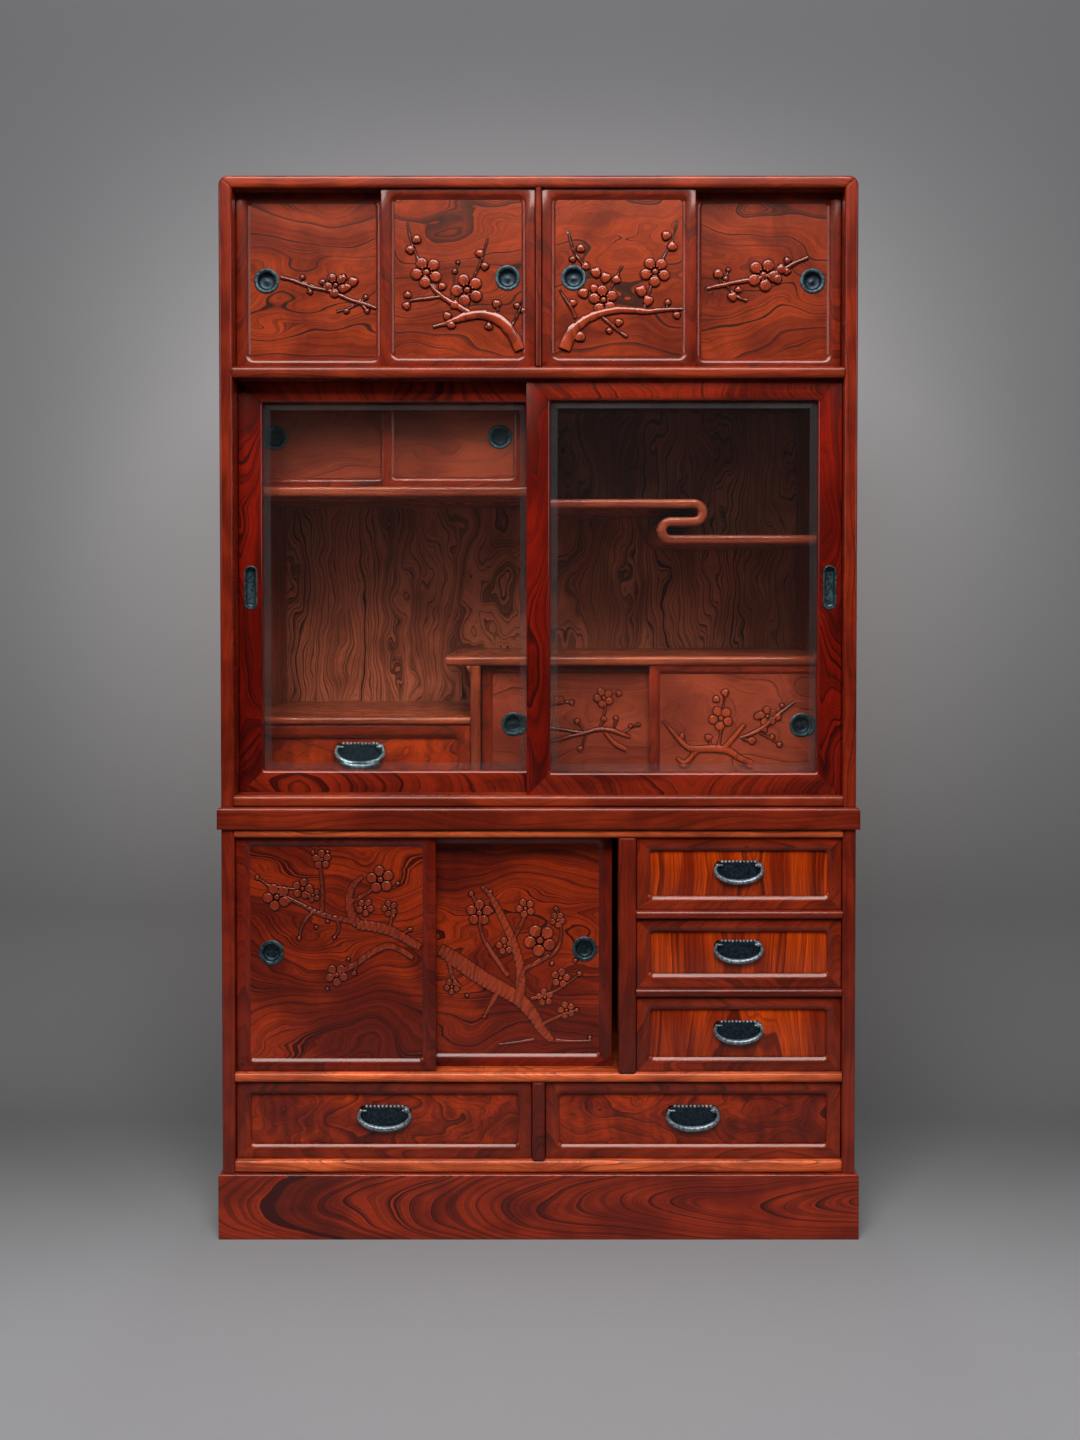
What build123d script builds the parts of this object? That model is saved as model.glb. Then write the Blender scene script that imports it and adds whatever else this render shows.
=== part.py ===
from build123d import *

import os

# Mizuya kitchen cabinet: a plinth, a lower case with doors and drawers, a waist
# board, and an upper case with glass doors below and wooden doors above.
# Millimetres. X runs to the right, Y from the front to the back and Z up. The
# origin is on the floor, under the middle of the cabinet.

# ---------------------------------------------------------------- outside sizes
overall_width = 1060
overall_depth = 440
overhang = 5  # of the plinth and the waist board past the sides and the front
side_thickness = 22
back_thickness = 6

# ----------------------------------------- heights, stacked from the floor upwards
plinth_height = 108
lower_bottom_thickness = 21
wide_drawer_opening = 130
track_shelf_thickness = 16
small_drawer_openings = [126, 116, 121]
drawer_rail_thickness = 14
lower_top_thickness = 15
waist_thickness = 36
upper_bottom_thickness = 19
glass_opening = 688
middle_thickness = 19
top_door_opening = 292
top_thickness = 20

# ------------------------------------------------------- partitions of the cases
plinth_thickness = 22
corner_block = 40
divider_face_width = 30
divider_face_depth = 36
divider_thickness = 18
divider_left_x = 132
wide_partition_thickness = 22
top_partition_thickness = 10

# ----------------------------------------------------- fittings behind the glass
fitting_setback = 106  # of their front edges, behind the front of the case
hanging_width = 478
hanging_bottom_thickness = 18
hanging_opening = 169
hanging_wall_thickness = 18
ribbon_thickness = 16
ribbon_slot = 15
ribbon_drop = 22  # of the top of the upper shelf, below the floor of the hanging cabinet
link_left_x = 204
link_right_x = 291
ledge_thickness = 17
ledge_opening = 208
ledge_overhang = 42
ledge_wall_thickness = 18
ledge_wall_left_x = -119.5
corbel_width = 8
corbel_height = 15
corbel_depth = 24
inner_drawer_opening = 106
inner_shelf_thickness = 14

# ------------------------------------------------------- sliding doors and tracks
bottom_groove_depth = 3
top_groove_depth = 8
top_engagement = 5
track_clearance = 0.5  # each side of a leaf in its groove
track_land = 2
seat_gap = 0.3  # under a leaf or a drawer
edge_gap = 1  # beside a shut leaf or drawer

top_leaf_thickness = 18
top_leaf_setback = 8
top_leaf_overlap = 10
glass_leaf_thickness = 20
glass_leaf_setback = 15
glass_leaf_overlap = 40
lower_leaf_thickness = 20
lower_leaf_setback = 10
lower_leaf_overlap = 29
lower_right_ajar = 8  # left open at rest
inner_leaf_thickness = 14
inner_leaf_setback = 4
hanging_leaf_overlap = 12
ledge_leaf_overlap = 20

# -------------------------------------------------------------- leaves and fronts
member_width = 22
bevel_width = 9
bevel_depth = 5
panel_thickness = 8
inner_member_width = 19
inner_bevel_width = 7
inner_bevel_depth = 4
inner_panel_thickness = 7

glass_member_width = 39
glass_rebate = 8
glass_front_layer = 9
glass_bevel = 3
pane_thickness = 5
pane_play = 0.5
pane_bevel_width = 20
pane_bevel_depth = 1.5

# -------------------------------------------------------------------- round pulls
pull_flange_radius = 21
pull_flange_thickness = 1.6
pull_rim_radius = 0.9
pull_cup_radius = 15
pull_wall = 1.5
pull_floor = 1
pull_play = 0.3
pull_insets = {  # of a pull's middle, from the edge of its leaf
    "far_left_top_door": 49,
    "left_top_door": 45,
    "right_top_door": 52,
    "far_right_top_door": 46,
    "left_hanging_door": 42,
    "right_hanging_door": 42,
    "left_ledge_door": 55,
    "right_ledge_door": 47,
    "left_lower_door": 57,
    "right_lower_door": 46,
}

# ------------------------------------------------------- long pulls, glass doors
long_pull_height = 73
long_pull_width = 22
long_pull_lip = 2
long_pull_flange_thickness = 1.2
long_pull_wall = 1.2
long_pull_floor = 1

# ------------------------------------------------------------------------ drawers
drawer_setback = 8
drawer_board_thickness = 12
drawer_frame_thickness = 8
drawer_side_thickness = 10
drawer_bottom_thickness = 6
drawer_bottom_lift = 3
drawer_side_drop = 10  # of the sides and the back, below the top of the front
drawer_back_gap = 10
top_gap = 1.5

# ----------------------------------------------------------------- drawer handles
plate_half_width = 45
plate_rise = 20  # of the plate's straight top, above the middle of the front
plate_drop = 22
plate_thickness = 1.5
plate_corner = 3
post_x = 33
post_radius = 3.5
pivot_rise = 14
pivot_stand_off = 4.5
bail_radius = 3
bail_half_width = 41
bail_drop = 35
pin_radius = 1.5
pin_play = 0.08
pin_reach = 12

# --------------------------------------------------------------------- rounded edges
side_edge_radius = 5
board_edge_radius = 6
waist_edge_radius = 6
plinth_edge_radius = 4
case_corner_radius = 16
rounding_share = 0.45  # of a board's thickness, the most that one edge may take


# ==================================================================== derived places
front_y = -overall_depth / 2
back_y = overall_depth / 2
case_front = front_y + overhang
inner_back = back_y - back_thickness
outer_x = overall_width / 2 - overhang
inner_x = outer_x - side_thickness

lower_bottom_z = plinth_height
wide_z = lower_bottom_z + lower_bottom_thickness
track_shelf_z = wide_z + wide_drawer_opening
lower_door_z = track_shelf_z + track_shelf_thickness
lower_opening = sum(small_drawer_openings)
lower_opening += drawer_rail_thickness * (len(small_drawer_openings) - 1)
lower_top_z = lower_door_z + lower_opening
waist_z = lower_top_z + lower_top_thickness
upper_bottom_z = waist_z + waist_thickness
bay_z = upper_bottom_z + upper_bottom_thickness
middle_z = bay_z + glass_opening
top_door_z = middle_z + middle_thickness
top_z = top_door_z + top_door_opening
overall_height = top_z + top_thickness

fitting_front = case_front + fitting_setback
hanging_right_x = -inner_x + hanging_width
hanging_wall_right_x = hanging_right_x + hanging_wall_thickness
hanging_door_z = middle_z - hanging_opening
hanging_bottom_z = hanging_door_z - hanging_bottom_thickness
upper_shelf_z = hanging_door_z - ribbon_drop - ribbon_thickness
ribbon_pitch = ribbon_thickness + ribbon_slot
lower_shelf_z = upper_shelf_z - 2 * ribbon_pitch
turn_radius = ribbon_thickness + ribbon_slot / 2
ledge_z = bay_z + ledge_opening
ledge_wall_right_x = ledge_wall_left_x + ledge_wall_thickness
ledge_left_x = ledge_wall_left_x - ledge_overhang
inner_shelf_z = bay_z + inner_drawer_opening
divider_right_x = divider_left_x + divider_face_width


def front_plane(y):
    """Upright plane at depth y that faces the front, with its x along +X and its y up."""
    return Plane.XZ.offset(-y)


def board(low, high):
    """Rectangular board between two opposite corners."""
    size = [top - bottom for bottom, top in zip(low, high)]
    middle = tuple((top + bottom) / 2 for bottom, top in zip(low, high))
    with BuildPart() as piece:
        with Locations(middle):
            Box(*size)
    return piece.part


def eased_board(low, high, radius):
    """Board with its two long front edges rounded."""
    limit = min(radius, rounding_share * (high[2] - low[2]))
    with BuildPart() as piece:
        add(board(low, high))
        front = piece.faces().sort_by(Axis.Y)[0]
        fillet(front.edges().filter_by(Axis.X), radius=limit)
    return piece.part


def upright_board(low, high, radius):
    """Standing partition with its two front edges rounded."""
    limit = min(radius, rounding_share * (high[0] - low[0]))
    with BuildPart() as piece:
        add(board(low, high))
        front = piece.faces().sort_by(Axis.Y)[0]
        fillet(front.edges().filter_by(Axis.Z), radius=limit)
    return piece.part


def cut_grooves(piece_in, span, tracks, z_low, z_high):
    """Plough a groove for each track, from span[0] to span[1] along X."""
    with BuildPart() as piece:
        add(piece_in)
        for track_low, track_high in tracks:
            groove_low = (span[0], track_low - track_clearance, z_low)
            groove_high = (span[1], track_high + track_clearance, z_high)
            add(board(groove_low, groove_high), mode=Mode.SUBTRACT)
    return piece.part


def track_pair(front, thickness):
    """Depths (low, high) of the front leaf and of the rear leaf of a pair."""
    pitch = thickness + track_land + 2 * track_clearance
    return [(front, front + thickness), (front + pitch, front + pitch + thickness)]


def write_node(name, pieces):
    """Write one node: a single piece, or several pieces that stay separate solids."""
    node = pieces[0] if len(pieces) == 1 else Compound(pieces)
    node.label = name
    export_step(node, f"parts/{name}.step")


# =========================================================================== tracks
top_tracks = track_pair(case_front + top_leaf_setback, top_leaf_thickness)
glass_tracks = track_pair(case_front + glass_leaf_setback, glass_leaf_thickness)
lower_tracks = track_pair(case_front + lower_leaf_setback, lower_leaf_thickness)
inner_tracks = track_pair(fitting_front + inner_leaf_setback, inner_leaf_thickness)


# =========================================================================== plinth
def mitred_ring_board(start, end, inward):
    """One plinth board along the outside edge from start to end, mitred at both ends."""
    along = (Vector(*end) - Vector(*start)).normalized()
    across = Vector(*inward)
    corners = [
        Vector(*start),
        Vector(*end),
        Vector(*end) - along * plinth_thickness + across * plinth_thickness,
        Vector(*start) + along * plinth_thickness + across * plinth_thickness,
    ]
    with BuildPart() as piece:
        with BuildSketch():
            Polygon([(corner.X, corner.Y) for corner in corners], align=None)
        extrude(amount=plinth_height)
        outer_middle = (corners[0] + corners[1]) / 2 + Vector(0, 0, plinth_height)
        fillet(piece.edges().sort_by_distance(outer_middle)[0], radius=plinth_edge_radius)
    return piece.part


def build_plinth():
    """Four mitred boards with a glue block in each corner."""
    x = overall_width / 2
    pieces = [
        mitred_ring_board((-x, front_y), (x, front_y), (0, 1)),
        mitred_ring_board((x, front_y), (x, back_y), (-1, 0)),
        mitred_ring_board((x, back_y), (-x, back_y), (0, -1)),
        mitred_ring_board((-x, back_y), (-x, front_y), (1, 0)),
    ]
    block_x = x - plinth_thickness
    block_y = overall_depth / 2 - plinth_thickness
    for side in (-1, 1):
        for end in (-1, 1):
            with BuildPart() as block:
                with BuildSketch(Plane.XY.offset(plinth_height - corner_block)):
                    Polygon(
                        [
                            (side * block_x, end * block_y),
                            (side * (block_x - corner_block), end * block_y),
                            (side * block_x, end * (block_y - corner_block)),
                        ],
                        align=None,
                    )
                extrude(amount=corner_block)
            pieces.append(block.part)
    return pieces


# ======================================================================= lower case
def build_lower_sides():
    """The two sides of the lower case, from the plinth to the waist board."""
    return [
        upright_board((-outer_x, case_front, plinth_height), (-inner_x, back_y, waist_z), side_edge_radius),
        upright_board((inner_x, case_front, plinth_height), (outer_x, back_y, waist_z), side_edge_radius),
    ]


def full_board(z_low, z_high):
    """Board that spans the inside of the case, with an eased front."""
    low = (-inner_x, case_front, z_low)
    high = (inner_x, inner_back, z_high)
    return eased_board(low, high, board_edge_radius)


def build_lower_bottom():
    """Bottom board of the lower case."""
    return [full_board(lower_bottom_z, wide_z)]


def build_track_shelf():
    """Shelf over the wide drawers, ploughed on top for the lower doors."""
    top = track_shelf_z + track_shelf_thickness
    shelf = full_board(track_shelf_z, top)
    span = (-inner_x, divider_left_x)
    return [cut_grooves(shelf, span, lower_tracks, top - bottom_groove_depth, top)]


def build_lower_top():
    """Top board of the lower case, ploughed underneath for the lower doors."""
    top_board = full_board(lower_top_z, waist_z)
    span = (-inner_x, divider_left_x)
    return [cut_grooves(top_board, span, lower_tracks, lower_top_z, lower_top_z + top_groove_depth)]


def build_lower_partitions():
    """Divider beside the doors, shelves of the small drawers, partition of the wide ones."""
    face_back = case_front + divider_face_depth
    panel_left_x = divider_left_x + (divider_face_width - divider_thickness) / 2
    panel_right_x = panel_left_x + divider_thickness
    pieces = [
        upright_board(
            (divider_left_x, case_front, lower_door_z),
            (divider_right_x, face_back, lower_top_z),
            board_edge_radius,
        ),
        board((panel_left_x, face_back, lower_door_z), (panel_right_x, inner_back, lower_top_z)),
        upright_board(
            (-wide_partition_thickness / 2, case_front, wide_z),
            (wide_partition_thickness / 2, inner_back, track_shelf_z),
            board_edge_radius,
        ),
    ]
    level = lower_door_z
    for opening in small_drawer_openings[:-1]:
        level += opening
        rail_top = level + drawer_rail_thickness
        pieces.append(
            eased_board(
                (divider_right_x, case_front, level), (inner_x, face_back, rail_top), board_edge_radius
            )
        )
        pieces.append(board((panel_right_x, face_back, level), (inner_x, inner_back, rail_top)))
        level = rail_top
    return pieces


def build_waist():
    """Thick board between the cases, proud of both at the front and the sides."""
    half = overall_width / 2
    with BuildPart() as piece:
        add(board((-half, front_y, waist_z), (half, back_y, upper_bottom_z)))
        front = piece.faces().sort_by(Axis.Y)[0]
        ends = piece.faces().filter_by(Axis.X)
        upper_edges = piece.edges().group_by(Axis.Z)[-1]
        rounded = [edge for edge in upper_edges if edge in front.edges() + ends.edges()]
        fillet(rounded, radius=waist_edge_radius)
    return [piece.part]


# ======================================================================= upper case
def mitred_case_board(outline, long_axis):
    """Upper side or top from its front outline, trimmed to the rounded corner of the case."""
    tall = 2 * (overall_height - upper_bottom_z)
    with BuildPart() as piece:
        with BuildSketch(front_plane(case_front)):
            Polygon(outline, align=None)
            with Locations((0, overall_height - tall / 2)):
                RectangleRounded(2 * outer_x, tall, case_corner_radius, mode=Mode.INTERSECT)
        extrude(amount=-(back_y - case_front))
        front = piece.faces().sort_by(Axis.Y)[0]
        long_edges = front.edges().filter_by(long_axis)
        arcs = front.edges().filter_by(GeomType.CIRCLE)
        fillet(long_edges + arcs, radius=side_edge_radius)
    return piece.part


def build_upper_sides():
    """The two sides of the upper case, mitred to the top."""
    pieces = []
    for side in (-1, 1):
        outline = [
            (side * outer_x, upper_bottom_z),
            (side * inner_x, upper_bottom_z),
            (side * inner_x, top_z),
            (side * outer_x, overall_height),
        ]
        pieces.append(mitred_case_board(outline, Axis.Z))
    return pieces


def build_top():
    """Top board, mitred to the sides and ploughed underneath for the top doors."""
    outline = [
        (-outer_x, overall_height),
        (-inner_x, top_z),
        (inner_x, top_z),
        (outer_x, overall_height),
    ]
    top_board = mitred_case_board(outline, Axis.X)
    span = (-inner_x, inner_x)
    return [cut_grooves(top_board, span, top_tracks, top_z, top_z + top_groove_depth)]


def build_upper_bottom():
    """Bottom of the upper case, ploughed for the glass doors and the doors under the ledge."""
    bottom = full_board(upper_bottom_z, bay_z)
    groove_z = bay_z - bottom_groove_depth
    bottom = cut_grooves(bottom, (-inner_x, inner_x), glass_tracks, groove_z, bay_z)
    return [cut_grooves(bottom, (ledge_wall_right_x, inner_x), inner_tracks, groove_z, bay_z)]


def build_middle():
    """Board over the glass bay, ploughed underneath and on top."""
    span = (-inner_x, inner_x)
    middle = full_board(middle_z, top_door_z)
    middle = cut_grooves(middle, span, glass_tracks, middle_z, middle_z + top_groove_depth)
    hanging_span = (-inner_x, hanging_right_x)
    middle = cut_grooves(middle, hanging_span, inner_tracks, middle_z, middle_z + top_groove_depth)
    return [cut_grooves(middle, span, top_tracks, top_door_z - bottom_groove_depth, top_door_z)]


def build_top_partition():
    """Slim partition between the two pairs of top doors."""
    low = (-top_partition_thickness / 2, case_front, top_door_z)
    high = (top_partition_thickness / 2, inner_back, top_z)
    return [upright_board(low, high, board_edge_radius)]


def build_backs():
    """Back panels of both cases, let in flush between the sides."""
    return [
        board((-inner_x, inner_back, plinth_height), (inner_x, back_y, waist_z)),
        board((-inner_x, inner_back, upper_bottom_z), (inner_x, back_y, top_z)),
    ]


# ============================================================ fittings of the glass bay
def build_hanging_cabinet():
    """Bottom board and end wall of the small cabinet that hangs at the upper left."""
    bottom = eased_board(
        (-inner_x, fitting_front, hanging_bottom_z),
        (hanging_right_x, inner_back, hanging_door_z),
        board_edge_radius,
    )
    span = (-inner_x, hanging_right_x)
    bottom = cut_grooves(bottom, span, inner_tracks, hanging_door_z - bottom_groove_depth, hanging_door_z)
    wall = upright_board(
        (hanging_right_x, fitting_front, upper_shelf_z),
        (hanging_wall_right_x, inner_back, middle_z),
        board_edge_radius,
    )
    return [bottom, wall]


def build_stagger_shelves():
    """Two shelves at different heights, joined by a ribbon that doubles back on itself."""
    upper_turn_x = link_right_x - turn_radius
    lower_turn_x = link_left_x + turn_radius
    upper_shelf = eased_board(
        (hanging_wall_right_x, fitting_front, upper_shelf_z),
        (upper_turn_x, inner_back, upper_shelf_z + ribbon_thickness),
        board_edge_radius,
    )
    lower_shelf = eased_board(
        (lower_turn_x, fitting_front, lower_shelf_z),
        (inner_x, inner_back, lower_shelf_z + ribbon_thickness),
        board_edge_radius,
    )
    middle_bar_z = upper_shelf_z - ribbon_pitch
    upper_turn_z = upper_shelf_z - ribbon_slot / 2
    lower_turn_z = middle_bar_z - ribbon_slot / 2
    with BuildPart() as link:
        with BuildSketch(front_plane(fitting_front)):
            for x, z, side in ((upper_turn_x, upper_turn_z, 1), (lower_turn_x, lower_turn_z, -1)):
                with BuildSketch(mode=Mode.PRIVATE) as turn:
                    with Locations((x, z)):
                        Circle(turn_radius)
                        Circle(ribbon_slot / 2, mode=Mode.SUBTRACT)
                    with Locations((x + side * turn_radius / 2, z)):
                        Rectangle(turn_radius, 2 * turn_radius, mode=Mode.INTERSECT)
                add(turn.sketch)
            with Locations(((upper_turn_x + lower_turn_x) / 2, middle_bar_z + ribbon_thickness / 2)):
                Rectangle(upper_turn_x - lower_turn_x, ribbon_thickness)
        extrude(amount=-(inner_back - fitting_front))
        front = link.faces().sort_by(Axis.Y)[0]
        fillet(front.edges() - front.edges().filter_by(Axis.Z), radius=board_edge_radius)
    return [upper_shelf, link.part, lower_shelf]


def build_ledge_cabinet():
    """Ledge, the wall that carries it, its corbel and the shelf over the inner drawer."""
    ledge_top = ledge_z + ledge_thickness
    ledge = eased_board(
        (ledge_left_x, fitting_front, ledge_z), (inner_x, inner_back, ledge_top), board_edge_radius
    )
    span = (ledge_wall_right_x, inner_x)
    ledge = cut_grooves(ledge, span, inner_tracks, ledge_z, ledge_z + top_groove_depth)
    wall = upright_board(
        (ledge_wall_left_x, fitting_front, bay_z),
        (ledge_wall_right_x, inner_back, ledge_z),
        board_edge_radius,
    )
    with BuildPart() as corbel:
        with BuildSketch(front_plane(fitting_front)):
            Polygon(
                [
                    (ledge_wall_left_x, ledge_z),
                    (ledge_wall_left_x - corbel_width, ledge_z),
                    (ledge_wall_left_x, ledge_z - corbel_height),
                ],
                align=None,
            )
        extrude(amount=-corbel_depth)
    shelf = eased_board(
        (-inner_x, fitting_front, inner_shelf_z),
        (ledge_wall_left_x, inner_back, inner_shelf_z + inner_shelf_thickness),
        board_edge_radius,
    )
    return [ledge, wall, corbel.part, shelf]


# =============================================================== frames, leaves, pulls
def mitred_frame(low, high, width, bevel, pocket=None):
    """Four mitred members round an upright rectangle.

    bevel is the (width, depth) of the slope on the inner front edge, or None. pocket
    is a sketch to cut through, if a member is to carry a pull.
    """
    (x0, y0, z0), (x1, y1, z1) = low, high
    centre = Vector((x0 + x1) / 2, y0, (z0 + z1) / 2)
    runs = [
        ((x0, z0), (1, 0, 0), x1 - x0),
        ((x1, z0), (0, 0, 1), z1 - z0),
        ((x1, z1), (-1, 0, 0), x1 - x0),
        ((x0, z1), (0, 0, -1), z1 - z0),
    ]
    members = []
    for (x, z), direction, length in runs:
        corner_plane = Plane(origin=(x, y0, z), x_dir=direction, z_dir=(0, -1, 0))
        with BuildPart() as member:
            with BuildSketch(corner_plane):
                Polygon([(0, 0), (length, 0), (length - width, width), (width, width)], align=None)
            extrude(amount=-(y1 - y0))
            if bevel:
                front = member.faces().sort_by(Axis.Y)[0]
                inner_edge = front.edges().sort_by_distance(centre)[0]
                chamfer(inner_edge, length=bevel[0], length2=bevel[1], reference=front)
            if pocket:
                add(pocket, mode=Mode.SUBTRACT)
        members.append(member.part)
    return members


def wooden_leaf(low, high, member, bevel, panel, pull_x):
    """Framed leaf: four mitred members and a panel with the seat of its round pull."""
    members = mitred_frame(low, high, member, bevel)
    (x0, y0, z0), (x1, y1, z1) = low, high
    panel_front = y0 + bevel[1]
    with BuildPart() as panel_board:
        with BuildSketch(front_plane(panel_front)):
            with Locations(((x0 + x1) / 2, (z0 + z1) / 2)):
                Rectangle(x1 - x0 - 2 * member, z1 - z0 - 2 * member)
            with Locations((pull_x, (z0 + z1) / 2)):
                Circle(pull_cup_radius + pull_play, mode=Mode.SUBTRACT)
        extrude(amount=-panel)
    return members + [panel_board.part], panel_front


def round_pull(x, z, seat_y, cup_depth):
    """Flanged cup, let into a panel whose face is at seat_y."""
    flange_front = seat_y - pull_flange_thickness
    cup_back = seat_y + cup_depth
    with BuildPart() as pull:
        with BuildSketch(front_plane(flange_front)):
            with Locations((x, z)):
                Circle(pull_flange_radius)
        extrude(amount=-pull_flange_thickness)
        fillet(pull.faces().sort_by(Axis.Y)[0].edges(), radius=pull_rim_radius)
        with BuildSketch(front_plane(seat_y)):
            with Locations((x, z)):
                Circle(pull_cup_radius)
        extrude(amount=-cup_depth)
        with BuildSketch(front_plane(flange_front)):
            with Locations((x, z)):
                Circle(pull_cup_radius - pull_wall)
        extrude(amount=-(cup_back - pull_floor - flange_front), mode=Mode.SUBTRACT)
    return pull.part


def pair_places(left, right, overlap):
    """X limits of the left leaf and of the right leaf that close an opening together."""
    width = (right - left + overlap) / 2 - edge_gap
    return [(left + edge_gap, left + edge_gap + width), (right - edge_gap - width, right - edge_gap)]


def leaf_heights(opening_z, opening):
    """Bottom and top of a leaf that runs in the grooves of an opening."""
    return opening_z - bottom_groove_depth + seat_gap, opening_z + opening + top_engagement


outer_style = (member_width, (bevel_width, bevel_depth), panel_thickness)
inner_style = (inner_member_width, (inner_bevel_width, inner_bevel_depth), inner_panel_thickness)


def build_wooden_door(name, places, track, heights, style, pull_side):
    """Write the leaf and the pull of one door. pull_side is -1 at its left edge, 1 at its right."""
    member, bevel, panel = style
    pull_inset = pull_insets[name]
    low = (places[0], track[0], heights[0])
    high = (places[1], track[1], heights[1])
    pull_x = places[0] + pull_inset if pull_side < 0 else places[1] - pull_inset
    pieces, panel_front = wooden_leaf(low, high, member, bevel, panel, pull_x)
    write_node(f"{name}_leaf", pieces)
    pull_z = (heights[0] + heights[1]) / 2
    write_node(f"{name}_pull", [round_pull(pull_x, pull_z, panel_front, panel)])


def stadium(plane, x, z, width, height, depth):
    """Upright slot-shaped block behind a plane."""
    with BuildPart() as block:
        with BuildSketch(plane):
            with Locations((x, z)):
                SlotOverall(height, width, rotation=90)
        extrude(amount=-depth)
    return block.part


def build_glass_door(name, places, track, pull_side):
    """Write the frame, the pane and the long pull of one glass door."""
    z0, z1 = leaf_heights(bay_z, glass_opening)
    x0, x1 = places
    y0, y1 = track
    lap_y = y0 + glass_front_layer
    bead_y = lap_y + pane_thickness
    pull_x = x0 + glass_member_width / 2 if pull_side < 0 else x1 - glass_member_width / 2
    pull_z = bay_z + glass_opening / 2
    cup_width = long_pull_width - 2 * long_pull_lip
    cup_height = long_pull_height - 2 * long_pull_lip
    pocket = stadium(
        front_plane(y0),
        pull_x,
        pull_z,
        cup_width + 2 * pull_play,
        cup_height + 2 * pull_play,
        glass_front_layer,
    )
    front_layer = mitred_frame(
        (x0, y0, z0), (x1, lap_y, z1), glass_member_width, (glass_bevel, glass_bevel), pocket
    )
    back_layer = mitred_frame((x0, lap_y, z0), (x1, y1, z1), glass_member_width - glass_rebate, None)
    inset = glass_member_width - glass_rebate
    beads = mitred_frame(
        (x0 + inset, bead_y, z0 + inset), (x1 - inset, y1, z1 - inset), glass_rebate, None
    )
    write_node(f"{name}_frame", front_layer + back_layer + beads)

    with BuildPart() as pane:
        pane_inset = inset + pane_play
        add(
            board(
                (x0 + pane_inset, lap_y, z0 + pane_inset), (x1 - pane_inset, bead_y, z1 - pane_inset)
            )
        )
        face = pane.faces().sort_by(Axis.Y)[0]
        chamfer(face.edges(), length=pane_bevel_width, length2=pane_bevel_depth, reference=face)
    write_node(f"{name}_pane", [pane.part])

    flange = stadium(
        front_plane(y0 - long_pull_flange_thickness),
        pull_x,
        pull_z,
        long_pull_width,
        long_pull_height,
        long_pull_flange_thickness,
    )
    cup = stadium(front_plane(y0), pull_x, pull_z, cup_width, cup_height, glass_front_layer)
    dish = stadium(
        front_plane(y0 - long_pull_flange_thickness),
        pull_x,
        pull_z,
        cup_width - 2 * long_pull_wall,
        cup_height - 2 * long_pull_wall,
        long_pull_flange_thickness + glass_front_layer - long_pull_floor,
    )
    with BuildPart() as pull:
        add(flange)
        add(cup)
        add(dish, mode=Mode.SUBTRACT)
    write_node(f"{name}_pull", [pull.part])


# ========================================================================== drawers
def build_drawer(name, x_limits, z_limits, face_y):
    """Write the box, the handle plate and the bail of the drawer that fills an opening."""
    x0 = x_limits[0] + edge_gap
    x1 = x_limits[1] - edge_gap
    z0 = z_limits[0] + seat_gap
    z1 = z_limits[1] - top_gap
    board_y = face_y + drawer_frame_thickness
    box_y = board_y + drawer_board_thickness
    box_back = inner_back - drawer_back_gap
    box_top = z1 - drawer_side_drop
    bottom_z = z0 + drawer_bottom_lift
    inner_x0 = x0 + drawer_side_thickness
    inner_x1 = x1 - drawer_side_thickness
    inner_back_y = box_back - drawer_side_thickness
    moulding = mitred_frame(
        (x0, face_y, z0), (x1, board_y, z1), member_width, (bevel_width, bevel_depth)
    )
    boards = [
        board((x0, board_y, z0), (x1, box_y, z1)),
        board((x0, box_y, z0), (inner_x0, box_back, box_top)),
        board((inner_x1, box_y, z0), (x1, box_back, box_top)),
        board((inner_x0, inner_back_y, z0), (inner_x1, box_back, box_top)),
        board((inner_x0, box_y, bottom_z), (inner_x1, inner_back_y, bottom_z + drawer_bottom_thickness)),
    ]
    write_node(f"{name}_box", moulding + boards)
    centre_x = (x0 + x1) / 2
    centre_z = (z0 + z1) / 2
    write_node(f"{name}_handle_plate", [build_plate(centre_x, board_y, centre_z)])
    write_node(f"{name}_bail", [build_bail(centre_x, board_y, centre_z)])


def build_plate(x, seat_y, z):
    """Half-moon plate with the two eyes that the bail turns in."""
    pivot_y = seat_y - plate_thickness - pivot_stand_off
    eye_front = pivot_y - post_radius
    with BuildPart() as plate:
        with BuildSketch(front_plane(seat_y)):
            with BuildLine():
                ThreePointArc(
                    (x - plate_half_width, z + plate_rise),
                    (x, z - plate_drop),
                    (x + plate_half_width, z + plate_rise),
                )
                Line((x + plate_half_width, z + plate_rise), (x - plate_half_width, z + plate_rise))
            make_face()
            fillet(vertices(), radius=plate_corner)
        extrude(amount=plate_thickness)
        with BuildSketch(front_plane(seat_y - plate_thickness)):
            with Locations((x - post_x, z + pivot_rise), (x + post_x, z + pivot_rise)):
                Circle(post_radius)
        extrude(amount=seat_y - plate_thickness - eye_front)
        with Locations((x, pivot_y, z + pivot_rise)):
            Cylinder(
                pin_radius + pin_play, 2 * (post_x + 2 * post_radius), rotation=(0, 90, 0), mode=Mode.SUBTRACT
            )
    return plate.part


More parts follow.
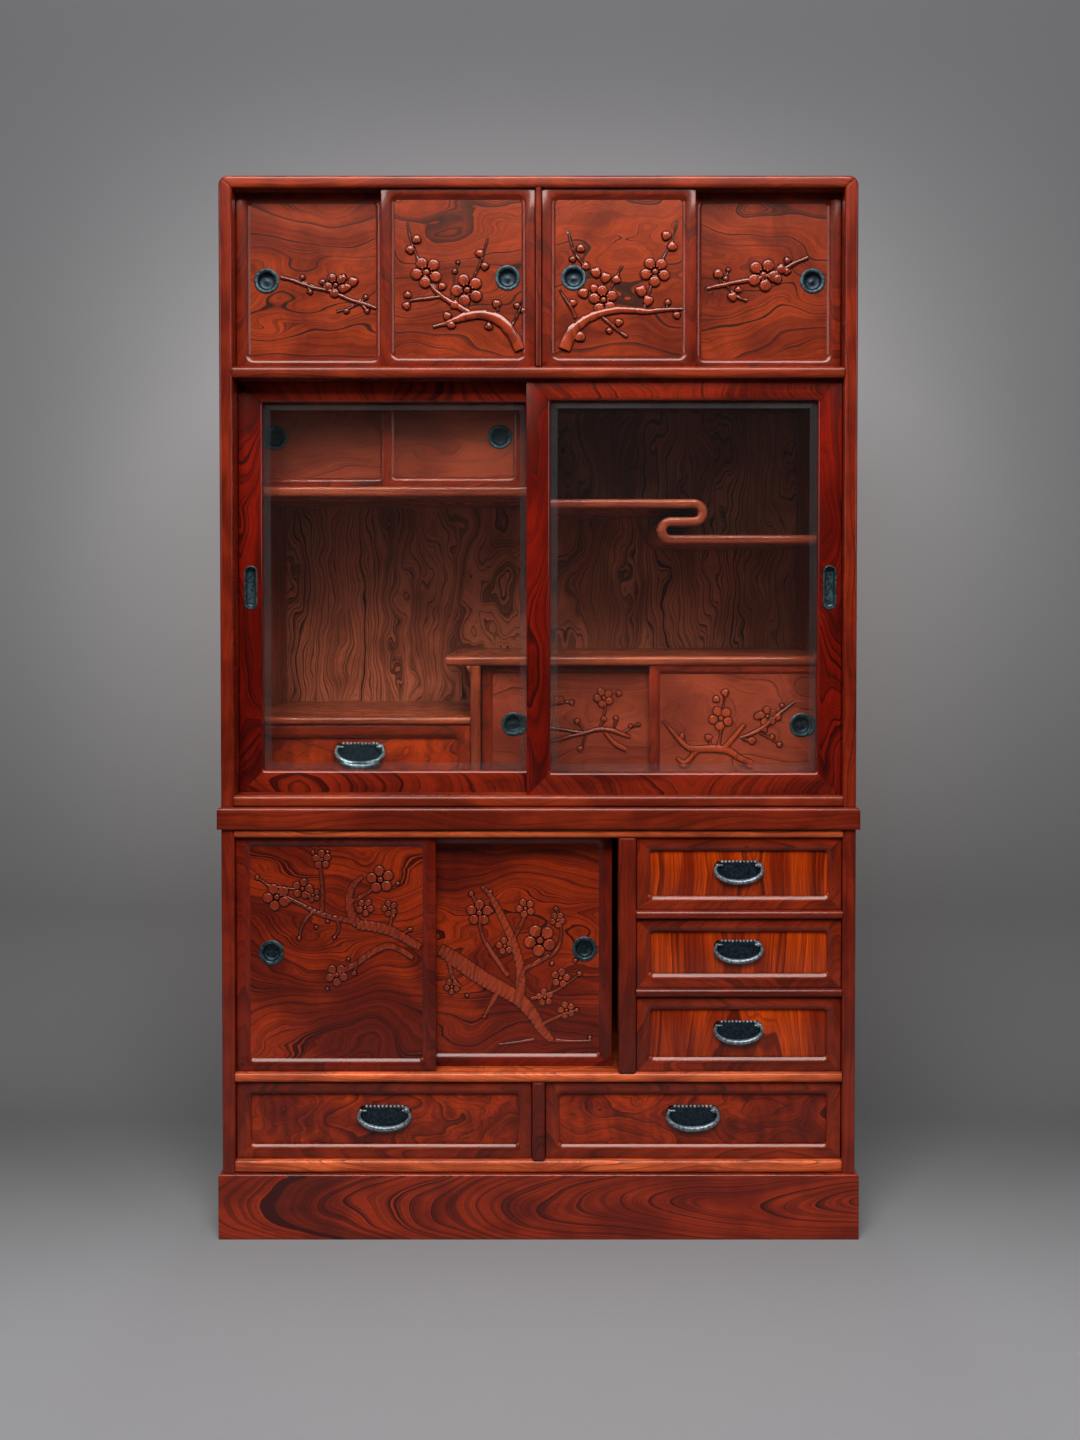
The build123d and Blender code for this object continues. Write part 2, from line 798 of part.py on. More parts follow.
def build_bail(x, seat_y, z):
    """Curved bail that hangs in front of the plate, with a pin at each end."""
    pivot_y = seat_y - plate_thickness - pivot_stand_off
    pivot_z = z + pivot_rise
    left = (x - bail_half_width, pivot_y, pivot_z)
    right = (x + bail_half_width, pivot_y, pivot_z)
    with BuildPart() as bail:
        with BuildLine() as curve:
            ThreePointArc(left, (x, pivot_y, pivot_z - bail_drop), right)
        with BuildSketch(Plane(origin=left, z_dir=curve.line % 0)):
            Circle(bail_radius)
        sweep(path=curve.line)
        with Locations(left, right):
            Sphere(bail_radius)
        pin_middle = bail_half_width - pin_reach / 2
        with Locations((x - pin_middle, pivot_y, pivot_z), (x + pin_middle, pivot_y, pivot_z)):
            Cylinder(pin_radius, pin_reach, rotation=(0, 90, 0))
    return bail.part


# ============================================================================ places
left_top_places = pair_places(-inner_x, -top_partition_thickness / 2, top_leaf_overlap)
right_top_places = pair_places(top_partition_thickness / 2, inner_x, top_leaf_overlap)
glass_places = pair_places(-inner_x, inner_x, glass_leaf_overlap)
hanging_places = pair_places(-inner_x, hanging_right_x, hanging_leaf_overlap)
ledge_places = pair_places(ledge_wall_right_x, inner_x, ledge_leaf_overlap)
lower_left_place, lower_right_shut = pair_places(-inner_x, divider_left_x, lower_leaf_overlap)
lower_right_place = tuple(x - lower_right_ajar for x in lower_right_shut)

top_heights = leaf_heights(top_door_z, top_door_opening)
hanging_heights = leaf_heights(hanging_door_z, hanging_opening)
ledge_heights = leaf_heights(bay_z, ledge_opening)
lower_heights = leaf_heights(lower_door_z, lower_opening)

# Name, X limits, track, heights, style, side of the pull.
wooden_doors = [
    ("far_left_top_door", left_top_places[0], top_tracks[1], top_heights, outer_style, -1),
    ("left_top_door", left_top_places[1], top_tracks[0], top_heights, outer_style, 1),
    ("right_top_door", right_top_places[0], top_tracks[0], top_heights, outer_style, -1),
    ("far_right_top_door", right_top_places[1], top_tracks[1], top_heights, outer_style, 1),
    ("left_hanging_door", hanging_places[0], inner_tracks[1], hanging_heights, inner_style, -1),
    ("right_hanging_door", hanging_places[1], inner_tracks[0], hanging_heights, inner_style, 1),
    ("left_ledge_door", ledge_places[0], inner_tracks[1], ledge_heights, inner_style, -1),
    ("right_ledge_door", ledge_places[1], inner_tracks[0], ledge_heights, inner_style, 1),
    ("left_lower_door", lower_left_place, lower_tracks[0], lower_heights, outer_style, -1),
    ("right_lower_door", lower_right_place, lower_tracks[1], lower_heights, outer_style, 1),
]

drawer_face = case_front + drawer_setback
wide_heights = (wide_z, track_shelf_z)
half_partition = wide_partition_thickness / 2
drawers = [
    ("left_wide_drawer", (-inner_x, -half_partition), wide_heights, drawer_face),
    ("right_wide_drawer", (half_partition, inner_x), wide_heights, drawer_face),
    (
        "inner_drawer",
        (-inner_x, ledge_wall_left_x),
        (bay_z, inner_shelf_z),
        fitting_front + inner_leaf_setback,
    ),
]
small_level = lower_door_z
for drawer_name, opening in zip(("bottom", "middle", "top"), small_drawer_openings):
    limits = (small_level, small_level + opening)
    drawers.append((f"{drawer_name}_small_drawer", (divider_right_x, inner_x), limits, drawer_face))
    small_level += opening + drawer_rail_thickness

case_nodes = {
    "plinth": build_plinth,
    "lower_sides": build_lower_sides,
    "lower_bottom": build_lower_bottom,
    "track_shelf": build_track_shelf,
    "lower_top": build_lower_top,
    "lower_partitions": build_lower_partitions,
    "waist_board": build_waist,
    "upper_sides": build_upper_sides,
    "upper_bottom": build_upper_bottom,
    "middle_board": build_middle,
    "top_board": build_top,
    "top_partition": build_top_partition,
    "back_panels": build_backs,
    "hanging_cabinet": build_hanging_cabinet,
    "stagger_shelves": build_stagger_shelves,
    "ledge_cabinet": build_ledge_cabinet,
}

os.makedirs("parts", exist_ok=True)
for node_name, build_node in case_nodes.items():
    write_node(node_name, build_node())
for door in wooden_doors:
    build_wooden_door(*door)
build_glass_door("left_glass_door", glass_places[0], glass_tracks[1], -1)
build_glass_door("right_glass_door", glass_places[1], glass_tracks[0], 1)
for drawer in drawers:
    build_drawer(*drawer)
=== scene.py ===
"""Dresses the mizuya kitchen cabinet: lacquered wood, patinated iron, glass, carving and a plain studio."""

import logging
import math
import random
from collections.abc import Callable, Iterable
from dataclasses import dataclass, field, replace
from enum import Enum
from functools import cache

import bmesh
import bpy
from mathutils import Matrix, Vector


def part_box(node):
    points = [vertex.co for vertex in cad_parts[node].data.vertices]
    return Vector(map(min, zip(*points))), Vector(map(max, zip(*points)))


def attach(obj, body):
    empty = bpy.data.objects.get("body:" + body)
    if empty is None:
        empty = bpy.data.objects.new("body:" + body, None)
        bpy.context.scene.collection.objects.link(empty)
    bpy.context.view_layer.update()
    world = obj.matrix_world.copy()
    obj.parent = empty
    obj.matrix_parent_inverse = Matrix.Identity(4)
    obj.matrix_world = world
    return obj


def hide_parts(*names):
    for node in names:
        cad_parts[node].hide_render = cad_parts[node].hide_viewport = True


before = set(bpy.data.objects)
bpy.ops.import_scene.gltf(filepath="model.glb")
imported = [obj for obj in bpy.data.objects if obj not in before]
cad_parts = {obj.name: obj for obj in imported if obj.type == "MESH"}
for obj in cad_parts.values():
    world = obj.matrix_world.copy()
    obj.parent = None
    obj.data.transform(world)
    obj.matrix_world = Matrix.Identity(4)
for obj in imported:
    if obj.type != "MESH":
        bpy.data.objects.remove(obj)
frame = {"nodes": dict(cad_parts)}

LOG = logging.getLogger("mizuya")
MM = 0.001
TOUCHING = 0.000001
ORIGIN = (0.0, 0.0, 0.0)
FACING_FRONT = (math.pi / 2, 0.0, 0.0)
GRAIN_SLIDES = (0.015, 0.01, 6.0)
ROUND_HOLE_SIDES = 48
LONG_HOLE_SIDES = 40
SURFACE_OUTPUTS = {"Color": "Color", "Roughness": "Float", "Height": "Float"}

Point = tuple[float, float, float]
Colour = tuple[float, float, float, float]
Steps = tuple[tuple[float, float], ...]
Rod = tuple[int, list[tuple[float, float, float, float]]]
Feed = bpy.types.NodeSocket | float | tuple[float, ...] | None


class Run(Enum):
    """Way the grain of a board runs."""

    UPRIGHT = 0.0
    ACROSS = 1.0
    DEEP = 2.0


class Smoothing(Enum):
    """Angle in degrees above which an edge stays sharp."""

    GLASS = 1.0
    JOINERY = 35.0
    METAL = 40.0
    BAIL = 50.0
    CARVING = 60.0


class Relief(Enum):
    """Kind of carving: its height over the panel and the roughness of its bark, in metres."""

    DEEP = (0.0055, 0.0032)
    MIDDLE = (0.0038, 0.0022)
    SHALLOW = (0.0034, 0.0012)

    def __init__(self, height: float, bark: float) -> None:
        """Name the two measures."""
        self.height = height
        self.bark = bark


def shade(red: int, green: int, blue: int) -> Colour:
    """Turn a display colour into a linear one.

    Args:
        red: Red, from 0 to 255.
        green: Green, from 0 to 255.
        blue: Blue, from 0 to 255.

    Returns:
        Linear red, green and blue, and an alpha of 1.
    """
    values = [channel / 255 for channel in (red, green, blue)]
    linear = [v / 12.92 if v <= 0.04045 else ((v + 0.055) / 1.055) ** 2.4 for v in values]
    return (*linear, 1.0)


# ------------------------------------------------------------------ shader nodes
class NodeSheet:
    """A node tree, with short calls for the nodes that the finishes use."""

    def __init__(self, tree: bpy.types.NodeTree) -> None:
        """Keep the tree.

        Args:
            tree: Tree that gets the nodes.
        """
        self.tree = tree

    def feed(self, socket: bpy.types.NodeSocket, value: Feed) -> None:
        """Link a socket to another one, or set its value.

        Args:
            socket: Input to feed.
            value: Output socket, plain value, or None to leave it.
        """
        if isinstance(value, bpy.types.NodeSocket):
            self.tree.links.new(value, socket)
        elif value is not None:
            socket.default_value = value

    def feed_all(self, node: bpy.types.Node, *values: Feed, **named: Feed) -> bpy.types.Node:
        """Feed several inputs of a node.

        Args:
            node: Node to feed.
            *values: First inputs, in their order.
            **named: Inputs by name, with underscores for spaces.

        Returns:
            The same node.
        """
        for socket, value in zip(node.inputs, values):
            self.feed(socket, value)
        for name, value in named.items():
            self.feed(node.inputs[name.replace("_", " ")], value)
        return node

    def add(self, kind: str, **settings: object) -> bpy.types.Node:
        """Add a node.

        Args:
            kind: Blender's name of the node type.
            **settings: Properties to set on it.

        Returns:
            The new node.
        """
        node = self.tree.nodes.new(kind)
        for name, value in settings.items():
            setattr(node, name, value)
        return node

    def math(self, operation: str, *values: Feed, clamp: bool = False) -> bpy.types.NodeSocket:
        """Add a Math node and return its output."""
        node = self.add("ShaderNodeMath", operation=operation, use_clamp=clamp)
        return self.feed_all(node, *values).outputs[0]

    def vector(self, operation: str, *values: Feed) -> bpy.types.NodeSocket:
        """Add a Vector Math node and return its output: the Value one for a length or a dot product."""
        node = self.feed_all(self.add("ShaderNodeVectorMath", operation=operation), *values)
        return node.outputs["Value" if operation in ("LENGTH", "DOT_PRODUCT") else "Vector"]

    def scale(self, vector: Feed, factor: Feed) -> bpy.types.NodeSocket:
        """Scale a vector by a number."""
        node = self.add("ShaderNodeVectorMath", operation="SCALE")
        return self.feed_all(node, vector, Scale=factor).outputs["Vector"]

    def stretched(self, vector: Feed, factors: Point) -> bpy.types.NodeSocket:
        """Scale a vector by one factor along each axis."""
        return self.vector("MULTIPLY", vector, factors)

    def split(self, vector: Feed) -> tuple[bpy.types.NodeSocket, ...]:
        """Give the X, Y and Z of a vector."""
        return tuple(self.feed_all(self.add("ShaderNodeSeparateXYZ"), vector).outputs)

    def joined(self, x: Feed, y: Feed, z: Feed = None) -> bpy.types.NodeSocket:
        """Make a vector of its X, Y and Z."""
        return self.feed_all(self.add("ShaderNodeCombineXYZ"), x, y, z).outputs[0]

    def mix(self, kind: str, factor: Feed, first: Feed, second: Feed) -> bpy.types.NodeSocket:
        """Add a Mix node.

        Args:
            kind: FLOAT, VECTOR or RGBA.
            factor: Share of the second value.
            first: Value at factor 0.
            second: Value at factor 1.

        Returns:
            The mixed value.
        """
        node = self.add("ShaderNodeMix", data_type=kind, clamp_factor=True)
        pair = ("FLOAT", "VECTOR", "RGBA").index(kind)
        for place, value in ((0, factor), (2 * pair + 2, first), (2 * pair + 3, second)):
            self.feed(node.inputs[place], value)
        return node.outputs[pair]

    def smooth(
        self, value: Feed, low: Feed, high: Feed, start: float = 0.0, end: float = 1.0
    ) -> bpy.types.NodeSocket:
        """Map a value from low and high to start and end, with soft ends."""
        node = self.add("ShaderNodeMapRange", interpolation_type="SMOOTHSTEP")
        return self.feed_all(node, value, low, high, start, end).outputs[0]

    def noise(self, vector: Feed, scale: Feed, detail: float, rough: float) -> bpy.types.Node:
        """Add a Noise Texture node in three dimensions."""
        node = self.add("ShaderNodeTexNoise")
        return self.feed_all(node, Vector=vector, Scale=scale, Detail=detail, Roughness=rough)

    def attribute(self, name: str, output: str = "Fac") -> bpy.types.NodeSocket:
        """Read an attribute of the mesh."""
        return self.add("ShaderNodeAttribute", attribute_name=name).outputs[output]

    def rounded(self, radius: float, samples: int) -> bpy.types.NodeSocket:
        """Give the normal that the surface has with its edges rounded."""
        return self.feed_all(self.add("ShaderNodeBevel", samples=samples), Radius=radius).outputs[0]

    def bump(
        self, height: Feed, strength: float, distance: float, normal: Feed = None
    ) -> bpy.types.NodeSocket:
        """Give the normal that a height makes, from a normal before it."""
        node = self.feed_all(
            self.add("ShaderNodeBump"), Strength=strength, Distance=distance, Height=height, Normal=normal
        )
        return node.outputs[0]

    def let_through(self, shader: bpy.types.Node, share: Feed, tint: Feed = None) -> None:
        """Blend a shader with a clear one, and put the blend on the surface.

        Args:
            shader: Shader of the surface.
            share: Share of the clear shader.
            tint: Colour of the clear shader.
        """
        clear = self.feed_all(self.add("ShaderNodeBsdfTransparent"), tint)
        blend = self.feed_all(self.add("ShaderNodeMixShader"), share, shader.outputs[0], clear.outputs[0])
        self.feed(self.tree.nodes["Material Output"].inputs["Surface"], blend.outputs[0])

    def place(self, group: bpy.types.NodeTree, **values: Feed) -> bpy.types.Node:
        """Place a shader group, with its inputs by name and underscores for spaces."""
        return self.feed_all(self.add("ShaderNodeGroup", node_tree=group), **values)


class SharedGroup:
    """A shader group with named inputs and outputs."""

    def __init__(self, name: str, inputs: dict[str, object], outputs: dict[str, str]) -> None:
        """Make the group and its sockets.

        Args:
            name: Name of the group.
            inputs: Default of each input: a number, a vector of 3 or a colour of 4.
            outputs: Socket type of each output: Float, Vector or Color.
        """
        self.tree = bpy.data.node_groups.new(name, "ShaderNodeTree")
        self.sheet = NodeSheet(self.tree)
        for label, default in inputs.items():
            size = len(default) if isinstance(default, tuple) else 1
            kind = {1: "NodeSocketFloat", 3: "NodeSocketVector", 4: "NodeSocketColor"}[size]
            socket = self.tree.interface.new_socket(name=label, in_out="INPUT", socket_type=kind)
            socket.default_value = default
        for label, kind in outputs.items():
            self.tree.interface.new_socket(name=label, in_out="OUTPUT", socket_type=f"NodeSocket{kind}")
        self.inputs = self.tree.nodes.new("NodeGroupInput").outputs
        self.outputs = self.tree.nodes.new("NodeGroupOutput").inputs

    def give(self, label: str, value: Feed) -> None:
        """Feed one output of the group."""
        self.sheet.feed(self.outputs[label], value)


@cache
def board_coordinates() -> bpy.types.NodeTree:
    """Group that turns object coordinates so that the grain of a board runs along Z.

    Returns:
        The group, with a box in which the boards run another way.
    """
    nowhere = (-9.0, -9.0, -9.0)
    inputs = {
        "Vector": ORIGIN,
        "Shift": ORIGIN,
        "Turn": 0.0,
        "Finish Turn": 0.0,
        "Finish Shift": ORIGIN,
        "Box Low": nowhere,
        "Box High": nowhere,
        "Box Turn": 0.0,
    }
    group = SharedGroup("board coordinates", inputs, {"Vector": "Vector"})
    sheet, given = group.sheet, group.inputs
    above = sheet.vector("SUBTRACT", given["Vector"], given["Box Low"])
    below = sheet.vector("SUBTRACT", given["Box High"], given["Vector"])
    margins = sheet.split(sheet.vector("MINIMUM", above, below))
    least = sheet.math("MINIMUM", sheet.math("MINIMUM", margins[0], margins[1]), margins[2])
    inside = sheet.math("GREATER_THAN", least, 0.0)
    own = sheet.math("ADD", given["Turn"], given["Finish Turn"])
    turn = sheet.mix("FLOAT", inside, own, given["Box Turn"])
    x, y, z = sheet.split(given["Vector"])
    turned = sheet.mix("VECTOR", turn, given["Vector"], sheet.joined(z, y, x))
    turned = sheet.mix("VECTOR", sheet.math("SUBTRACT", turn, 1.0), turned, sheet.joined(x, z, y))
    shifted = sheet.vector("ADD", turned, given["Shift"])
    group.give("Vector", sheet.vector("ADD", shifted, given["Finish Shift"]))
    return group.tree


@cache
def zelkova_grain() -> bpy.types.NodeTree:
    """Group for the growth rings, fibres and pores of zelkova, along Z.

    Returns:
        The group, with colour, roughness and height.
    """
    inputs = {
        "Vector": ORIGIN,
        "Light": (0.3, 0.05, 0.02, 1.0),
        "Middle": (0.2, 0.03, 0.01, 1.0),
        "Line": (0.05, 0.008, 0.004, 1.0),
        "Pith": (0.02, 0.08, 0.0),
        "Tilt": 0.12,
        "Spacing": 0.014,
        "Sway": 0.04,
        "Sway Scale": 6.0,
        "Sway Stretch": 0.4,
        "Cloud Scale": 4.5,
        "Late Start": 0.5,
        "Line Strength": 0.7,
        "Fine Strength": 0.2,
        "Figure": 0.1,
        "Fibre": 0.2,
    }
    group = SharedGroup("zelkova grain", inputs, SURFACE_OUTPUTS)
    sheet, given = group.sheet, group.inputs
    point = given["Vector"]

    # The rings sway slowly and ripple finely, round a pith that leans along the board.
    along = sheet.joined(1.0, 1.0, given["Sway Stretch"])
    slow = sheet.noise(sheet.vector("MULTIPLY", point, along), given["Sway Scale"], 2.0, 0.4)
    quick = sheet.noise(sheet.stretched(point, (1.0, 1.0, 0.3)), 34.0, 2.0, 0.5)
    wander = sheet.vector("SUBTRACT", slow.outputs["Color"], (0.5, 0.5, 0.5))
    ripple = sheet.vector("SUBTRACT", quick.outputs["Color"], (0.5, 0.5, 0.5))
    moved = sheet.vector("ADD", point, sheet.scale(wander, given["Sway"]))
    moved = sheet.vector("ADD", moved, sheet.scale(ripple, sheet.math("MULTIPLY", given["Sway"], 0.05)))
    moved = sheet.vector("ADD", moved, given["Pith"])
    x, y, z = sheet.split(moved)
    lean = sheet.math("MULTIPLY", sheet.math("PINGPONG", z, 1.1), given["Tilt"])
    radius = sheet.vector("LENGTH", sheet.joined(x, sheet.math("ADD", y, lean)))

    # Each ring has its own width, and a dark late part of its own start and strength.
    uneven = sheet.add("ShaderNodeTexNoise", noise_dimensions="1D")
    sheet.feed(uneven.inputs["W"], sheet.math("MULTIPLY", radius, 26.0))
    ring = sheet.math("DIVIDE", radius, given["Spacing"])
    ring = sheet.math("ADD", ring, sheet.math("MULTIPLY", uneven.outputs[0], 2.2))
    phase = sheet.math("FRACT", ring)
    chance = sheet.add("ShaderNodeTexWhiteNoise", noise_dimensions="1D")
    sheet.feed(chance.inputs["W"], sheet.math("FLOOR", ring))
    start = sheet.math("MULTIPLY_ADD", chance.outputs["Value"], 0.3, given["Late Start"])
    late = sheet.math("MULTIPLY", sheet.smooth(phase, start, 0.92), sheet.smooth(phase, 0.94, 1.0, 1.0, 0.0))
    late = sheet.math("MULTIPLY", late, sheet.math("MULTIPLY_ADD", chance.outputs["Value"], 0.55, 0.45))
    fine_phase = sheet.math("FRACT", sheet.math("MULTIPLY", ring, 4.0))
    fine_end = sheet.smooth(fine_phase, 0.86, 1.0, 1.0, 0.0)
    fine = sheet.math("MULTIPLY", sheet.smooth(fine_phase, 0.35, 0.85), fine_end)

    # Fibres and pores run along the board, clouds lie over it and the figure crosses it.
    fibre = sheet.noise(sheet.stretched(moved, (1.0, 1.0, 0.03)), 420.0, 2.0, 0.6).outputs[0]
    pore = sheet.noise(sheet.stretched(point, (1.0, 1.0, 0.035)), 1300.0, 1.0, 0.5).outputs[0]
    pore = sheet.math("MULTIPLY", sheet.smooth(pore, 0.6, 0.72), sheet.smooth(phase, 0.3, 0.0))
    tone = sheet.noise(sheet.vector("MULTIPLY", moved, along), given["Cloud Scale"], 2.0, 0.55).outputs[0]
    figure = sheet.noise(sheet.stretched(moved, (1.0, 1.0, 4.5)), 13.0, 1.0, 0.5).outputs[0]

    cloud = sheet.smooth(tone, 0.36, 0.64, 0.0, 0.8)
    share = sheet.math("ADD", cloud, sheet.math("MULTIPLY", phase, 0.35), clamp=True)
    colour = sheet.mix("RGBA", share, given["Light"], given["Middle"])
    dark = sheet.math("MULTIPLY", late, given["Line Strength"])
    dark = sheet.math("ADD", dark, sheet.math("MULTIPLY", fine, given["Fine Strength"]))
    dark = sheet.math("ADD", dark, sheet.math("MULTIPLY", pore, 0.35), clamp=True)
    colour = sheet.mix("RGBA", dark, colour, given["Line"])
    streak = sheet.math("MULTIPLY", sheet.math("SUBTRACT", fibre, 0.5), given["Fibre"])
    sheen = sheet.math("MULTIPLY", sheet.math("SUBTRACT", figure, 0.5), given["Figure"])
    gain = sheet.math("ADD", 1.0, sheet.math("MULTIPLY", sheet.math("ADD", streak, sheen), 2.4))
    group.give("Color", sheet.scale(colour, gain))
    group.give("Roughness", sheet.math("MULTIPLY_ADD", dark, 0.12, 0.27))
    height = sheet.math("ADD", sheet.math("MULTIPLY", dark, -0.6), sheet.math("MULTIPLY", fibre, 0.35))
    group.give("Height", height)
    return group.tree


@cache
def iron_patina() -> bpy.types.NodeTree:
    """Group for dark iron with a mottled patina, rubbed bright on its edges.

    Returns:
        The group, with colour, roughness and height.
    """
    inputs = {
        "Vector": ORIGIN,
        "Iron": (0.02, 0.03, 0.035, 1.0),
        "Bloom": (0.04, 0.08, 0.09, 1.0),
        "Rubbed": (0.3, 0.33, 0.33, 1.0),
        "Edge": 0.0,
        "Rub": 0.7,
    }
    group = SharedGroup("iron patina", inputs, SURFACE_OUTPUTS)
    sheet, given = group.sheet, group.inputs
    mottle = sheet.noise(given["Vector"], 210.0, 3.0, 0.6).outputs[0]
    grit = sheet.noise(given["Vector"], 1500.0, 2.0, 0.6).outputs[0]
    colour = sheet.mix("RGBA", sheet.smooth(mottle, 0.38, 0.66), given["Iron"], given["Bloom"])
    worn = sheet.math("MULTIPLY", given["Edge"], sheet.smooth(mottle, 0.25, 0.6, 0.35, 1.0))
    worn = sheet.math("MULTIPLY", worn, given["Rub"], clamp=True)
    group.give("Color", sheet.mix("RGBA", worn, colour, given["Rubbed"]))
    rough = sheet.math("MULTIPLY_ADD", mottle, 0.25, 0.3)
    group.give("Roughness", sheet.math("SUBTRACT", rough, sheet.math("MULTIPLY", worn, 0.12)))
    group.give("Height", sheet.math("ADD", sheet.math("MULTIPLY", grit, 0.5), mottle))
    return group.tree


# --------------------------------------------------------------------- finishes
def blank_material(name: str) -> tuple[bpy.types.Material, NodeSheet, bpy.types.Node]:
    """Make a material.

    Args:
        name: Name of the material.

    Returns:
        The material, the sheet of its nodes and its Principled shader.
    """
    made = bpy.data.materials.new(name)
    made.use_nodes = True
    return made, NodeSheet(made.node_tree), made.node_tree.nodes["Principled BSDF"]


@dataclass(frozen=True)
class Finish:
    """Finish that becomes one material, shared by all that has it."""

    name: str
    slot: str

    def material(self) -> bpy.types.Material:
        """Make the material on its first use, and find it again after that.

        Returns:
            The material of this finish.
        """
        made = bpy.data.materials.get(self.name)
        if made is None:
            made, sheet, shader = blank_material(self.name)
            self.paint(sheet, shader)
        return made

    def paint(self, sheet: NodeSheet, shader: bpy.types.Node) -> None:
        """Give a new material its nodes."""
        raise NotImplementedError


@dataclass(frozen=True)
class LacqueredWood(Finish):
    """Zelkova under red-brown lacquer."""

    light: Colour
    middle: Colour
    line: Colour
    run: Run = Run.UPRIGHT
    pith: Point = (0.02, 0.08, 0.0)
    tilt: float = 0.12
    spacing: float = 0.014
    sway: float = 0.04
    sway_scale: float = 6.0
    sway_stretch: float = 0.4
    cloud_scale: float = 4.5
    late_start: float = 0.5
    line_strength: float = 0.7
    fine_strength: float = 0.2
    figure: float = 0.1
    fibre: float = 0.2
    shift: Point = ORIGIN
    turned_box: tuple[Point, Point, Run] | None = None
    sides_deep: bool = False
    # Share of the line colour painted as shade where a carving meets its panel.
    foot: float = 0.0
    soften: float = 0.0
    coat: float = 0.4
    coat_roughness: float = 0.14

    def paint(self, sheet: NodeSheet, shader: bpy.types.Node) -> None:
        """Lay the grain of each board, with the lacquer over it.

        Args:
            sheet: Sheet of the material's nodes.
            shader: Its Principled shader.
        """
        turn = sheet.attribute("board_turn")
        if self.sides_deep:
            sideways = sheet.split(sheet.add("ShaderNodeNewGeometry").outputs["Normal"])[0]
            turn = sheet.math("GREATER_THAN", sheet.math("ABSOLUTE", sideways), 0.7)
        boards = sheet.place(
            board_coordinates(), Vector=sheet.add("ShaderNodeTexCoord").outputs["Object"],
            Shift=sheet.attribute("board_shift", "Vector"), Turn=turn, Finish_Turn=self.run.value,
            Finish_Shift=self.shift,
        )
        if self.turned_box:
            low, high, other = self.turned_box
            sheet.feed_all(boards, Box_Low=low, Box_High=high, Box_Turn=other.value)
        grain = sheet.place(zelkova_grain(), Vector=boards.outputs[0])
        # Every other input of the group bears the name of a field of this class.
        for socket in grain.inputs[1:]:
            socket.default_value = getattr(self, socket.name.lower().replace(" ", "_"))
        colour = grain.outputs["Color"]
        # Painted shade: darken the carving towards the panel, and its dark outline all over.
        if self.foot:
            near = sheet.math("MULTIPLY", sheet.attribute("foot"), self.foot)
            colour = sheet.mix("RGBA", near, colour, self.line)
        soft = sheet.rounded(self.soften, 6) if self.soften else None
        sheet.feed_all(
            shader, Base_Color=colour, Roughness=grain.outputs["Roughness"],
            Normal=sheet.bump(grain.outputs["Height"], 0.35, 0.2 * MM, soft), Coat_Weight=self.coat,
            Coat_Roughness=self.coat_roughness, Coat_IOR=1.5, Specular_IOR_Level=0.28,
            Specular_Tint=(1.0, 0.56, 0.44, 1.0),
        )


@dataclass(frozen=True)
class PatinatedIron(Finish):
    """Blackened iron with a blue-green bloom, rubbed at its edges."""

    name: str = "patinated iron"
    slot: str = "patinated_iron"
    iron: Colour = shade(34, 46, 52)
    bloom: Colour = shade(62, 88, 94)
    rubbed: Colour = shade(168, 176, 174)
    edge_size: float = 1.1 * MM
    rub: float = 0.6
    metallic: float = 0.65

    def paint(self, sheet: NodeSheet, shader: bpy.types.Node) -> None:
        """Lay the patina, and rub it off where the rounded normal leaves the flat one.

        Args:
            sheet: Sheet of the material's nodes.
            shader: Its Principled shader.
        """
        flat = sheet.add("ShaderNodeNewGeometry").outputs["True Normal"]
        agree = sheet.vector("DOT_PRODUCT", sheet.rounded(self.edge_size, 4), flat)
        patina = sheet.place(
            iron_patina(), Vector=sheet.add("ShaderNodeTexCoord").outputs["Object"], Iron=self.iron,
            Bloom=self.bloom, Rubbed=self.rubbed, Edge=sheet.smooth(agree, 0.99, 0.8), Rub=self.rub,
        )
        sheet.feed_all(
            shader, Base_Color=patina.outputs["Color"], Roughness=patina.outputs["Roughness"],
            Normal=sheet.bump(patina.outputs["Height"], 0.5, 0.25 * MM), Metallic=self.metallic,
        )


@dataclass(frozen=True)
class BevelledGlass(Finish):
    """Clear sheet glass, let through by shadow rays."""

    name: str = "bevelled glass"
    slot: str = "pane_glass"
    tint: Colour = shade(238, 243, 240)
    smear_roughness: float = 0.02
    haze: float = 0.0
    clearness: float = 0.998

    def paint(self, sheet: NodeSheet, shader: bpy.types.Node) -> None:
        """Smear the glass faintly and clear it for shadow rays.

        Args:
            sheet: Sheet of the material's nodes.
            shader: Its Principled shader.
        """
        place = sheet.add("ShaderNodeTexCoord").outputs["Object"]
        smear = sheet.noise(sheet.stretched(place, (1.0, 1.0, 0.4)), 9.0, 3.0, 0.6).outputs[0]
        colour = sheet.mix("RGBA", sheet.smooth(smear, 0.3, 0.7), self.tint, shade(246, 249, 248))
        rough = sheet.math("MULTIPLY_ADD", smear, self.smear_roughness, self.haze)
        sheet.feed_all(
            shader, Base_Color=colour, Roughness=rough, Transmission_Weight=self.clearness, IOR=1.5
        )
        sheet.let_through(shader, sheet.add("ShaderNodeLightPath").outputs["Is Shadow Ray"], self.tint)


# --------------------------------------------------------------------- tones
LINE = shade(48, 12, 8)

